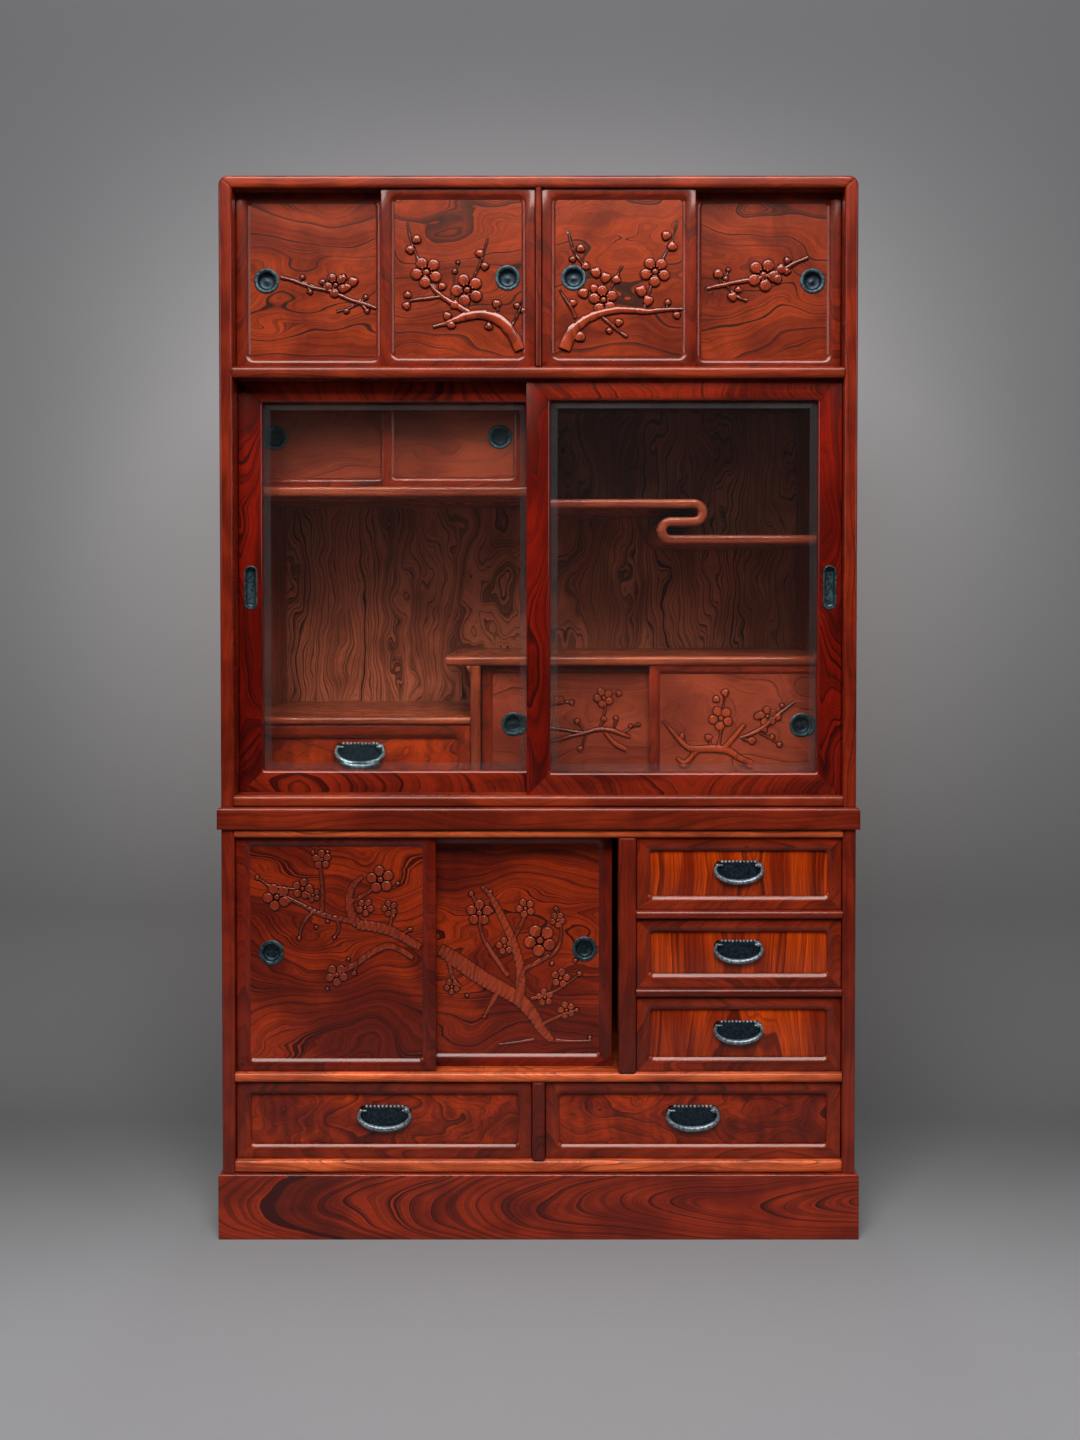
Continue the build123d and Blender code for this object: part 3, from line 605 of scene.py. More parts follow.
CASE_UPRIGHT = LacqueredWood(
    "case wood upright", "case_wood", shade(132, 38, 16), shade(94, 22, 10), LINE, spacing=0.007, sway=0.07,
    sway_scale=8.0, cloud_scale=24.0, line_strength=0.5, fine_strength=0.3, fibre=0.35, soften=0.004,
)
CASE_ACROSS = LacqueredWood(
    "case wood across", "case_wood", shade(156, 54, 24), shade(110, 32, 14), LINE, Run.ACROSS,
    spacing=0.008, sway=0.09, sway_scale=8.0, cloud_scale=18.0, line_strength=0.55, fine_strength=0.3,
    fibre=0.35, soften=0.007,
)
# Darker than the case wood across: painted shade on the front of the waist board.
SHADED_WAIST_WOOD = replace(CASE_ACROSS, name="waist wood", light=shade(137, 42, 18), middle=shade(95, 24, 10))
PARTITION_WOOD = replace(
    CASE_ACROSS, name="partition wood", light=shade(122, 33, 14), middle=shade(84, 19, 8), soften=0.006,
    turned_box=((-0.02, -1.0, 0.0), (0.1615, 1.0, 1.0), Run.UPRIGHT),
)
# Much lighter than the case wood: painted light, for rails that sit in shade under the waist board and for
# the highlight on their rounded fronts.
LIGHTENED_RAIL_WOOD = LacqueredWood(
    "rail wood", "case_wood", shade(226, 102, 50), shade(168, 64, 30), shade(70, 20, 12), Run.ACROSS,
    spacing=0.006, sway=0.08, sway_scale=10.0, cloud_scale=22.0, line_strength=0.55, fine_strength=0.35,
    fibre=0.4, soften=0.010,
)
PLINTH_WOOD = LacqueredWood(
    "plinth wood", "case_wood", shade(156, 46, 16), shade(110, 26, 10), shade(54, 13, 12), Run.ACROSS,
    pith=(-0.062, 0.082, 0.0), shift=(0.0, 0.0, 0.55), spacing=0.0074, sway=0.03, sway_stretch=0.6,
    cloud_scale=14.0, late_start=0.35, line_strength=1.0, fine_strength=0.5, sides_deep=True, soften=0.003,
)
HANGING_WOOD = LacqueredWood(
    "hanging cabinet wood", "case_wood", shade(148, 64, 40), shade(114, 42, 27), LINE, Run.ACROSS,
    spacing=0.010, sway=0.06, cloud_scale=18.0, line_strength=0.5, soften=0.005,
    turned_box=((-0.0255, -1.0, 1.2), (0.0, 1.0, 1.43), Run.UPRIGHT),
)
LEDGE_WOOD = replace(
    HANGING_WOOD, name="ledge cabinet wood", light=shade(150, 64, 37), middle=shade(114, 42, 24),
    turned_box=((-0.1197, -1.0, 0.7), (-0.1013, 1.0, 0.9437), Run.UPRIGHT),
)
BACK_WOOD = LacqueredWood(
    "back wood", "back_wood", shade(182, 93, 64), shade(136, 64, 43), shade(54, 21, 15), spacing=0.0056,
    pith=(0.05, -0.1, 0.0), tilt=0.06, sway=0.10, sway_scale=14.0, sway_stretch=0.5, cloud_scale=12.0,
    late_start=0.35, line_strength=1.0, fine_strength=0.4, coat=0.25,
)
DOOR_PANEL = LacqueredWood(
    "door panel wood", "door_wood", shade(152, 54, 23), shade(104, 31, 13), shade(30, 7, 5),
    pith=(0.0, -0.03, 0.0), tilt=0.08, sway=0.24, sway_scale=8.0, sway_stretch=0.55, cloud_scale=9.0,
    late_start=0.55, line_strength=0.95, fine_strength=0.3, figure=0.2, fibre=0.3, coat=0.3,
)
DOOR_FRAME = LacqueredWood(
    "door frame wood", "door_wood", shade(126, 36, 16), shade(92, 23, 10), LINE, spacing=0.008, sway=0.06,
    cloud_scale=20.0, line_strength=0.45, fine_strength=0.3, fibre=0.35,
)
LOWER_FRAME = replace(DOOR_FRAME, name="lower frame wood", light=shade(116, 28, 12), middle=shade(80, 15, 7))
FRONT_FRAME = replace(
    DOOR_FRAME, name="drawer frame wood", slot="drawer_wood", light=shade(136, 40, 14),
    middle=shade(98, 25, 9),
)
LOWER_PANEL = LacqueredWood(
    "lower panel wood", "door_wood", shade(158, 47, 12), shade(90, 19, 8), shade(40, 7, 6), spacing=0.019,
    pith=(0.01, -0.04, 0.0), tilt=0.07, sway=0.3, sway_scale=6.5, sway_stretch=0.6, cloud_scale=7.0,
    line_strength=0.75, fine_strength=0.45, figure=0.14, fibre=0.3, coat=0.3,
)
INNER_PANEL = LacqueredWood(
    "inner panel wood", "door_wood", shade(144, 58, 36), shade(108, 39, 25), shade(50, 14, 10), spacing=0.012,
    pith=(0.0, -0.03, 0.0), tilt=0.05, sway=0.22, sway_scale=8.0, sway_stretch=0.5, cloud_scale=10.0,
    line_strength=0.6, fine_strength=0.25,
)
CARVED_WOOD = LacqueredWood(
    "carved wood", "door_wood", shade(158, 58, 28), shade(120, 38, 18), shade(36, 9, 6), spacing=0.007,
    line_strength=0.4, foot=0.8, coat=0.7, coat_roughness=0.12,
)
GLASS_STILE = LacqueredWood(
    "glass stile wood", "frame_wood", shade(124, 20, 7), shade(82, 9, 4), shade(38, 4, 3), spacing=0.009,
    pith=(0.02, 0.05, 0.0), tilt=0.10, sway=0.12, sway_scale=7.0, cloud_scale=12.0, fine_strength=0.35,
    fibre=0.3,
)
# Its green and blue are raised a little over the wood's own red-brown, as a painted reflection haze.
GLASS_RAIL = LacqueredWood(
    "glass rail wood", "frame_wood", shade(138, 37, 16), shade(91, 20, 10), shade(42, 6, 4), spacing=0.008,
    pith=(0.035, 0.03, 0.0), tilt=0.30, sway=0.09, sway_scale=7.0, cloud_scale=12.0, line_strength=0.8,
    fine_strength=0.3, fibre=0.3,
)
SMALL_FRONT = LacqueredWood(
    "small drawer panel wood", "drawer_wood", shade(196, 66, 6), shade(122, 30, 5), shade(64, 13, 4),
    spacing=0.007, pith=(0.0, 0.12, 0.0), tilt=0.05, sway=0.06, sway_scale=9.0, sway_stretch=0.12,
    cloud_scale=26.0, line_strength=0.5, fine_strength=0.45, fibre=0.5,
)
WIDE_FRONT = LacqueredWood(
    "wide drawer panel wood", "drawer_wood", shade(166, 50, 9), shade(108, 25, 7), shade(48, 9, 6),
    spacing=0.0065, pith=(0.0, 0.06, 0.0), tilt=0.13, sway=0.07, sway_scale=13.0, sway_stretch=0.7,
    cloud_scale=12.0, line_strength=0.65, fine_strength=0.4, figure=0.55, fibre=0.35,
)
PLAIN_WOOD = LacqueredWood(
    "plain drawer wood", "drawer_wood", shade(176, 132, 88), shade(158, 112, 72), shade(120, 80, 50),
    spacing=0.012, sway=0.05, line_strength=0.35, fine_strength=0.15, coat=0.0,
)
IRON = PatinatedIron()
DARK_IRON = PatinatedIron("dark iron", iron=shade(18, 29, 38), bloom=shade(38, 56, 66), rub=0.3)
BRIGHT_IRON = PatinatedIron(
    "rubbed iron", iron=shade(84, 96, 106), bloom=shade(150, 162, 168), rubbed=shade(205, 210, 210), rub=0.9
)
GLASS = BevelledGlass()
# Glass of the bevel strip: its bluish-grey tint and slight opacity are painted reflection; its roughness is
# the glass's own.
GROUND_AND_REFLECTION_GLASS = BevelledGlass("ground glass", tint=shade(176, 196, 204), haze=0.12, clearness=0.975)


# ------------------------------------------------------------------ modelling
@dataclass(frozen=True)
class Board:
    """One board or casting of a piece: its finish, its grain and its own middle."""

    finish: Finish
    run: Run = Run.UPRIGHT
    centre: Point = ORIGIN
    seed: int = 1

    def shift(self) -> Point:
        """Find what moves the grain so that it starts near the board's own middle.

        Returns:
            The shift along the turned axes.
        """
        luck = random.Random(self.seed)
        x, y, z = self.centre
        turned = {Run.UPRIGHT: (x, y, z), Run.ACROSS: (z, y, x), Run.DEEP: (x, z, y)}[self.run]
        return tuple(luck.uniform(-slide, slide) - near for slide, near in zip(GRAIN_SLIDES, turned))


def select_only(active: bpy.types.Object, *others: bpy.types.Object) -> None:
    """Select some objects, with the first one active."""
    bpy.ops.object.select_all(action="DESELECT")
    for piece in (active, *others):
        piece.select_set(True)
    bpy.context.view_layer.objects.active = active


def dress(
    piece: bpy.types.Object, boards: list[Board], smoothing: Smoothing
) -> bpy.types.Object:
    """Give a piece its finishes, the grain of each board and smooth shading.

    Args:
        piece: Mesh object whose material indices are numbers of boards.
        boards: Boards by number.
        smoothing: Which edges stay sharp.

    Returns:
        The same piece.
    """
    mesh = piece.data
    numbers = [0] * len(mesh.polygons)
    mesh.polygons.foreach_get("material_index", numbers)
    finishes = list(dict.fromkeys(board.finish for board in boards))
    for finish in finishes:
        mesh.materials.append(finish.material())
    shifts = [board.shift() for board in boards]
    turns = [boards[number].run.value for number in numbers]
    places = [value for number in numbers for value in shifts[number]]
    mesh.attributes.new("board_turn", "FLOAT", "FACE").data.foreach_set("value", turns)
    mesh.attributes.new("board_shift", "FLOAT_VECTOR", "FACE").data.foreach_set("vector", places)
    indices = [finishes.index(boards[number].finish) for number in numbers]
    mesh.polygons.foreach_set("material_index", indices)
    select_only(piece)
    bpy.ops.object.shade_smooth_by_angle(angle=math.radians(smoothing.value), keep_sharp_edges=True)
    return piece


def copied(template: bpy.types.Object, name: str, place: Matrix) -> bpy.types.Object:
    """Copy a finished template, with its own mesh, to a place.

    Args:
        template: Object to copy.
        name: Name of the copy.
        place: Where its mesh goes.

    Returns:
        The copy.
    """
    piece = template.copy()
    piece.data = template.data.copy()
    piece.name = piece.data.name = name
    piece.data.transform(place)
    bpy.context.collection.objects.link(piece)
    return piece


def add_ball(segments: int, rings: int, radius: float, place: Point) -> None:
    """Add a sphere whose poles face the front and the back."""
    bpy.ops.mesh.primitive_uv_sphere_add(
        segments=segments, ring_count=rings, radius=radius, rotation=FACING_FRONT, location=place
    )


def extrude_edges(back: float, up: float = 0.0) -> None:
    """Extrude the selected edges towards the back and upwards."""
    bpy.ops.mesh.extrude_edges_move(TRANSFORM_OT_translate={"value": (0.0, back, up)})


def extrude_region(back: float) -> None:
    """Extrude the selected faces towards the back."""
    bpy.ops.mesh.extrude_region_move(TRANSFORM_OT_translate={"value": (0.0, back, 0.0)})


def sink(steps: Iterable[tuple[float, float]]) -> None:
    """Inset the selected face again and again, by the width and the depth of each step."""
    for width, fall in steps:
        bpy.ops.mesh.inset(thickness=width, depth=-fall)


def in_millimetres(*rows: tuple[float, float]) -> Steps:
    """Turn pairs of millimetres into metres."""
    return tuple((first * MM, second * MM) for first, second in rows)


def bend_rods(name: str, rods: Iterable[Rod]) -> bpy.types.Object:
    """Run a round rod along each line of stations, as one mesh that is left in edit mode.

    Args:
        name: Name of the piece.
        rods: For each rod the fineness between its stations, and the X, Y and Z of each station
            with its radius in millimetres.

    Returns:
        The rods.
    """
    bpy.ops.object.select_all(action="DESELECT")
    bpy.ops.curve.primitive_nurbs_path_add(location=ORIGIN)
    curve = bpy.context.object.data
    curve.splines.clear()
    for fineness, stations in rods:
        line = curve.splines.new("NURBS")
        line.points.add(len(stations) - 1)
        for point, (x, y, z, radius) in zip(line.points, stations):
            point.co = (x, y, z, 1.0)
            point.radius = radius
        line.order_u = min(3, len(stations))
        line.use_endpoint_u = True
        line.resolution_u = fineness
    curve.bevel_depth = MM
    curve.bevel_resolution = 3
    curve.use_fill_caps = True
    bpy.ops.object.convert(target="MESH")
    piece = bpy.context.object
    piece.name = piece.data.name = name
    bpy.ops.object.mode_set(mode="EDIT")
    return piece


def close_shells(threshold: float) -> None:
    """Merge the doubles of the mesh in edit mode, point its faces outwards and leave edit mode."""
    bpy.ops.mesh.select_all(action="SELECT")
    bpy.ops.mesh.remove_doubles(threshold=threshold)
    bpy.ops.mesh.normals_make_consistent(inside=False)
    bpy.ops.mesh.select_all(action="DESELECT")
    bpy.ops.object.mode_set(mode="OBJECT")


def open_edge(edge: bmesh.types.BMEdge) -> bool:
    """Say whether an edge has a face on one side only."""
    return len(edge.link_faces) == 1


def at_depth(edge: bmesh.types.BMEdge, y: float) -> bool:
    """Say whether an edge lies at one depth."""
    return all(abs(vertex.co.y - y) < TOUCHING for vertex in edge.verts)


class Bench:
    """One mesh object at the origin that is shaped shell by shell in edit mode."""

    def __init__(self, name: str) -> None:
        """Start an empty mesh.

        Args:
            name: Name of the piece.
        """
        bpy.ops.object.select_all(action="DESELECT")
        bpy.ops.object.add(type="MESH", location=ORIGIN)
        self.piece = bpy.context.object
        self.piece.name = self.piece.data.name = name
        self.boards: list[Board] = []
        bpy.ops.object.mode_set(mode="EDIT")

    def mesh(self) -> bmesh.types.BMesh:
        """Give the mesh that is being edited."""
        return bmesh.from_edit_mesh(self.piece.data)

    def pick(self, kind: str, test: Callable[[object], bool]) -> None:
        """Select the visible vertices, edges or faces that pass a test.

        Args:
            kind: VERT, EDGE or FACE.
            test: Says whether an element is wanted.
        """
        bpy.context.tool_settings.mesh_select_mode = (kind == "VERT", kind == "EDGE", kind == "FACE")
        bpy.ops.mesh.select_all(action="DESELECT")
        mesh = self.mesh()
        for part in {"VERT": mesh.verts, "EDGE": mesh.edges, "FACE": mesh.faces}[kind]:
            if not part.hide and test(part):
                part.select_set(True)
        mesh.select_flush_mode()
        bmesh.update_edit_mesh(self.piece.data)

    def everything(self) -> None:
        """Select all that isn't hidden."""
        bpy.ops.mesh.select_all(action="SELECT")

    def rectangle(self, x0: float, x1: float, z0: float, z1: float, y: float) -> None:
        """Add an upright rectangle that faces the front, and leave it selected."""
        middle = ((x0 + x1) / 2, y, (z0 + z1) / 2)
        bpy.ops.mesh.primitive_plane_add(size=1.0, location=middle, rotation=FACING_FRONT)
        bpy.ops.transform.resize(value=(x1 - x0, 1.0, z1 - z0), center_override=middle)

    def round(
        self, x: float, z: float, y: float, radius: float, stretch: float, sides: int, fill: bool
    ) -> None:
        """Add an upright circle, or a long round shape, that faces the front.

        Args:
            x: Middle, to the right.
            z: Middle, upwards.
            y: Depth.
            radius: Radius of its ends.
            stretch: Distance that the ends are moved apart.
            sides: Number of vertices.
            fill: Whether it gets a face.
        """
        bpy.ops.mesh.primitive_circle_add(
            vertices=sides, radius=radius, fill_type="NGON" if fill else "NOTHING", location=(x, y, z),
            rotation=(math.pi / 2, math.pi / sides, 0.0),
        )
        if not stretch:
            return
        ring = {vertex.index for vertex in self.mesh().verts if vertex.select}
        for side in (-1.0, 1.0):
            self.pick("VERT", lambda v: v.index in ring and (v.co.z - z) * side > 0.0)
            bpy.ops.transform.translate(value=(0.0, 0.0, side * stretch / 2))
        self.pick("VERT", lambda v: v.index in ring)

    def close(self, y: float) -> None:
        """Fill between the open edges at one depth."""
        self.pick("EDGE", lambda e: len(e.link_faces) < 2 and at_depth(e, y))
        bpy.ops.mesh.fill(use_beauty=False)

    def store(self, board: int | Callable[[Vector], int]) -> None:
        """Finish the visible shell: point it outwards, number its boards and hide it.

        Args:
            board: Number of its board, or what gives it from the middle of a face.
        """
        self.everything()
        bpy.ops.mesh.normals_make_consistent(inside=False)
        for face in self.mesh().faces:
            if not face.hide:
                face.material_index = board(face.calc_center_median()) if callable(board) else board
        bmesh.update_edit_mesh(self.piece.data)
        self.everything()
        bpy.ops.mesh.hide(unselected=False)

    def new_board(self, board: Board) -> int:
        """List a board and give its number."""
        self.boards.append(board)
        return len(self.boards) - 1

    def frame(
        self, low: Vector, high: Vector, member: float, steps: Steps, corner: float,
        finishes: tuple[Finish, Finish], seed: int, hole: tuple[float, ...] | None = None,
        edge: float = 0.9 * MM,
    ) -> None:
        """Build four mitred members with a moulding round their opening.

        Args:
            low: Lowest corner.
            high: Highest corner.
            member: Width of each member with its moulding.
            steps: Width and depth of each step of the moulding, from the outside in.
            corner: Radius of the moulding's corners where it starts.
            finishes: Finish of the stiles and of the rails.
            seed: Seed of their grain.
            hole: X, Z, radius and stretch of the hole for a pull.
            edge: Rounding of the outer front edges.
        """
        inset = member - sum(width for width, _ in steps)
        depth = sum(fall for _, fall in steps)
        thick = high.y - low.y
        middle_x, middle_z = (low.x + high.x) / 2, (low.z + high.z) / 2
        self.rectangle(low.x + inset, high.x - inset, low.z + inset, high.z - inset, low.y)
        if corner:
            bpy.ops.mesh.bevel(offset=corner, segments=6, affect="VERTICES")
        sink(steps)
        extrude_region(thick - depth)
        self.pick("FACE", lambda f: self.off_axis(f, middle_x, middle_z) < 10 * TOUCHING)
        bpy.ops.mesh.delete(type="ONLY_FACE")
        if hole:
            self.round(*hole[:2], low.y, *hole[2:], LONG_HOLE_SIDES, False)
        self.rectangle(low.x, high.x, low.z, high.z, low.y)
        bpy.ops.mesh.delete(type="ONLY_FACE")
        self.close(low.y)
        self.pick("EDGE", lambda e: open_edge(e) and at_depth(e, low.y))
        extrude_edges(thick)
        self.close(high.y)
        self.everything()
        bpy.ops.mesh.normals_make_consistent(inside=False)
        if edge:
            self.pick("EDGE", lambda e: self.on_rim(e, low, high))
            bpy.ops.mesh.bevel(offset=edge, segments=2, affect="EDGES")
        mitres = ((low.x, low.z, -1.0), (high.x, low.z, 1.0), (low.x, high.z, 1.0), (high.x, high.z, -1.0))
        for x, z, way in mitres:
            self.everything()
            bpy.ops.mesh.bisect(plane_co=(x, low.y, z), plane_no=(1.0, 0.0, way))
        places = (
            (Run.UPRIGHT, (low.x + member / 2, low.y, middle_z)),
            (Run.UPRIGHT, (high.x - member / 2, low.y, middle_z)),
            (Run.ACROSS, (middle_x, low.y, low.z + member / 2)),
            (Run.ACROSS, (middle_x, low.y, high.z - member / 2)),
        )
        numbers = [
            self.new_board(Board(finishes[place // 2], run, centre, seed * 10 + place))
            for place, (run, centre) in enumerate(places)
        ]

        def nearest(point: Vector) -> int:
            """Give the board on the side that a point is nearest to."""
            gaps = (point.x - low.x, high.x - point.x, point.z - low.z, high.z - point.z)
            return numbers[gaps.index(min(gaps))]

        self.store(nearest)

    @staticmethod
    def off_axis(face: bmesh.types.BMFace, x: float, z: float) -> float:
        """Distance of a face's middle from an axis that runs from the front to the back."""
        middle = face.calc_center_median()
        return math.hypot(middle.x - x, middle.z - z)

    @staticmethod
    def on_rim(edge: bmesh.types.BMEdge, low: Vector, high: Vector) -> bool:
        """Say whether an edge is one of the outer front edges of a frame."""
        sides = (("x", low.x), ("x", high.x), ("z", low.z), ("z", high.z))
        return at_depth(edge, low.y) and any(
            all(abs(getattr(vertex.co, way) - limit) < TOUCHING for vertex in edge.verts)
            for way, limit in sides
        )

    def bored_board(self, low: Vector, high: Vector, board: Board, hole: tuple[float, ...]) -> None:
        """Build a flat board with one round hole through it.

        Args:
            low: Lowest corner.
            high: Highest corner.
            board: Its finish and grain.
            hole: X, Z, radius and stretch of the hole.
        """
        self.round(*hole[:2], low.y, *hole[2:], ROUND_HOLE_SIDES, False)
        self.rectangle(low.x, high.x, low.z, high.z, low.y)
        bpy.ops.mesh.delete(type="ONLY_FACE")
        self.close(low.y)
        self.everything()
        extrude_region(high.y - low.y)
        self.store(self.new_board(board))

    def plank(self, low: Vector, high: Vector, board: Board, edge: float = 0.8 * MM) -> None:
        """Build a solid board with rounded edges.

        Args:
            low: Lowest corner.
            high: Highest corner.
            board: Its finish and grain.
            edge: Rounding of its edges.
        """
        bpy.ops.mesh.primitive_cube_add(size=1.0, location=(low + high) / 2)
        bpy.ops.transform.resize(value=high - low, center_override=(low + high) / 2)
        bpy.ops.mesh.bevel(offset=edge, segments=2, affect="EDGES")
        self.store(self.new_board(board))

    def turned(self, profile: Steps, x: float, z: float, board: Board, steps: int) -> None:
        """Turn a profile right round a front-to-back axis.

        Args:
            profile: Distance from the axis, and depth, of each corner.
            x: Axis, to the right.
            z: Axis, upwards.
            board: Finish.
            steps: Number of steps of the turn.
        """
        bpy.ops.mesh.primitive_plane_add(size=MM, location=(x + profile[0][0], profile[0][1], z))
        bpy.ops.mesh.merge(type="CENTER")
        bpy.context.tool_settings.mesh_select_mode = (True, False, False)
        for before, after in zip(profile, profile[1:]):
            step = (after[0] - before[0], after[1] - before[1], 0.0)
            bpy.ops.mesh.extrude_vertices_move(TRANSFORM_OT_translate={"value": step})
        self.everything()
        bpy.ops.mesh.spin(steps=steps, angle=2 * math.pi, center=(x, 0.0, z), axis=(0.0, 1.0, 0.0))
        self.everything()
        bpy.ops.mesh.remove_doubles(threshold=10 * TOUCHING)
        self.store(self.new_board(board))

    def leave(self) -> bpy.types.Object:
        """Show the mesh, leave edit mode and give the piece.

        Returns:
            The piece, without a finish.
        """
        bpy.ops.mesh.reveal(select=False)
        self.everything()
        bpy.ops.mesh.delete_loose()
        bpy.ops.mesh.select_all(action="DESELECT")
        bpy.ops.object.mode_set(mode="OBJECT")
        return self.piece

    def done(self, smoothing: Smoothing = Smoothing.JOINERY) -> bpy.types.Object:
        """Leave edit mode and dress the piece.

        Args:
            smoothing: Which edges stay sharp.

        Returns:
            The finished piece.
        """
        return dress(self.leave(), self.boards, smoothing)


# ------------------------------------------------------------------- fittings
@dataclass
class RoundPull:
    """Flush iron cup in a thin round flange."""

    flange_radius: float = 21.0
    cup_radius: float = 14.9
    proud: float = 1.6
    depth: float = 7.9
    steps: int = 48

    def build(self) -> bpy.types.Object:
        """Turn the pull on the axis of the frame, with its seat at zero depth.

        Returns:
            The template.
        """
        rim, cup, top = self.flange_radius, self.cup_radius, -self.proud
        profile = in_millimetres(
            (0.0, self.depth), (cup - 1.8, self.depth), (cup, self.depth - 1.2), (cup, 0.0), (rim, 0.0),
            (rim, -0.6), (rim - 0.7, -1.35), (rim - 2.0, top), (rim - 4.4, top + 0.1), (cup + 0.6, -1.1),
            (cup - 0.5, 0.0), (cup - 1.0, 2.4), (cup - 1.7, 4.6), (cup - 3.4, 6.1), (cup - 6.2, 6.6),
            (2.4, 6.7), (1.6, 6.2), (0.0, 6.0),
        )
        ring = in_millimetres(
            (cup + 0.9, 0.0), (rim - 0.1, -0.1), (rim - 0.1, -0.7), (rim - 0.8, top + 0.15),
            (rim - 2.0, top - 0.05), (rim - 4.4, top + 0.05), (cup + 0.6, -1.15), (cup + 0.2, -0.5),
            (cup + 0.9, 0.0),
        )
        bench = Bench("round_pull_template")
        bench.turned(profile, 0.0, 0.0, Board(DARK_IRON), self.steps)
        bench.turned(ring, 0.0, 0.0, Board(IRON), self.steps)
        return bench.done(Smoothing.METAL)


@dataclass
class LongPull:
    """Flush iron cup with round ends, let into a stile."""

    width: float = 22.0 * MM
    height: float = 73.0 * MM
    lip: float = 2.0 * MM
    shell: float = 0.4 * MM
    proud: float = 1.2 * MM
    depth: float = 8.9 * MM
    rounding: float = 0.45 * MM
    sides: int = 48
    cup_steps: Steps = in_millimetres(
        (0.5, 0.0), (1.5, 0.0), (0.5, 0.5), (0.5, 3.4), (1.0, 2.6), (1.6, 1.4), (2.4, 0.5)
    )

    def build(self) -> bpy.types.Object:
        """Shape the pull on the axis of the frame, with its seat at zero depth.

        Returns:
            The template.
        """
        bench = Bench("long_pull_template")
        bench.round(0.0, 0.0, -self.proud, self.width / 2, self.height - self.width, self.sides, True)
        bench.everything()
        sink(self.cup_steps)
        bench.pick("EDGE", open_edge)
        extrude_edges(self.proud)
        extrude_edges(0.0)
        narrow = 2 * self.lip - self.shell
        inner = (1.0 - narrow / self.width, 1.0, 1.0 - narrow / self.height)
        bpy.ops.transform.resize(value=inner, center_override=ORIGIN)
        extrude_edges(self.depth)
        bpy.ops.mesh.edge_face_add()
        bench.pick("EDGE", lambda e: at_depth(e, -self.proud) and self.outer(e))
        bpy.ops.mesh.bevel(offset=self.rounding, segments=2, affect="EDGES")
        bench.store(bench.new_board(Board(IRON)))
        return bench.done(Smoothing.METAL)

    def outer(self, edge: bmesh.types.BMEdge) -> bool:
        """Say whether an edge is on the pull's outline."""
        radius = self.width / 2
        end = self.height / 2 - radius
        reach = [math.hypot(v.co.x, max(abs(v.co.z) - end, 0.0)) for v in edge.verts]
        return all(abs(far - radius) < self.lip / 10 for far in reach)


@dataclass
class HandlePlate:
    """Half-moon plate with a beaded top and a domed eye for each end of the bail."""

    half_width: float = 41.0 * MM
    half_height: float = 23.0 * MM
    rise: float = 8.0 * MM
    top: float = 20.0 * MM
    thickness: float = 1.5 * MM
    rim_steps: Steps = in_millimetres((0.4, 0.0), (1.8, 0.0), (0.5, 0.6))
    beads: int = 10
    bead_gap: float = 6.1 * MM
    bead_radius: float = 2.5 * MM
    bead_drop: float = 1.0 * MM
    eye_x: float = 33.0 * MM
    eye_z: float = 14.0 * MM
    sides: int = 72
    dome_steps: int = 20
    dome: Steps = in_millimetres(
        (0.0, -7.9), (1.8, -7.6), (3.3, -6.5), (4.1, -4.7), (4.2, -2.9), (4.9, -2.1), (5.5, -0.8), (0.0, -0.8)
    )

    def build(self) -> bpy.types.Object:
        """Shape the plate on the axis of the frame, with its seat at zero depth.

        Returns:
            The template.
        """
        bench = Bench("handle_plate_template")
        dark, bright = bench.new_board(Board(DARK_IRON)), bench.new_board(Board(BRIGHT_IRON))
        bench.round(0.0, self.rise, -self.thickness, self.half_width, 0.0, self.sides, True)
        flat = (1.0, 1.0, self.half_height / self.half_width)
        bpy.ops.transform.resize(value=flat, center_override=(0.0, -self.thickness, self.rise))
        bench.everything()
        bpy.ops.mesh.bisect(
            plane_co=(0.0, 0.0, self.top), plane_no=(0.0, 0.0, 1.0), clear_outer=True, use_fill=False
        )
        bench.pick("FACE", lambda _: True)
        for by, fall in self.rim_steps:
            self.draw_in(bench, by, fall)
        bench.pick("EDGE", open_edge)
        extrude_edges(self.thickness)
        bpy.ops.mesh.edge_face_add()
        bench.store(dark)
        for place in range(self.beads):
            x = (place - (self.beads - 1) / 2) * self.bead_gap
            add_ball(12, 8, self.bead_radius, (x, -self.thickness, self.top - self.bead_drop))
            bench.store(bright)
        for side in (-1.0, 1.0):
            bench.turned(self.dome, side * self.eye_x, self.eye_z, Board(BRIGHT_IRON), self.dome_steps)
        return bench.done(Smoothing.METAL)

    @staticmethod
    def draw_in(bench: Bench, by: float, fall: float) -> None:
        """Draw the selected face in from its outline and let it fall back.

        Args:
            bench: Bench with the plate on it.
            by: Width of the strip that this leaves.
            fall: Distance that the face moves back.
        """
        extrude_region(fall)
        points = [vertex.co for vertex in bench.mesh().verts if vertex.select]
        low_x, high_x = min(p.x for p in points), max(p.x for p in points)
        low_z, high_z = min(p.z for p in points), max(p.z for p in points)
        shares = (1.0 - 2.0 * by / (high_x - low_x), 1.0, 1.0 - 2.0 * by / (high_z - low_z))
        middle = ((low_x + high_x) / 2, points[0].y, (low_z + high_z) / 2)
        bpy.ops.transform.resize(value=shares, center_override=middle)


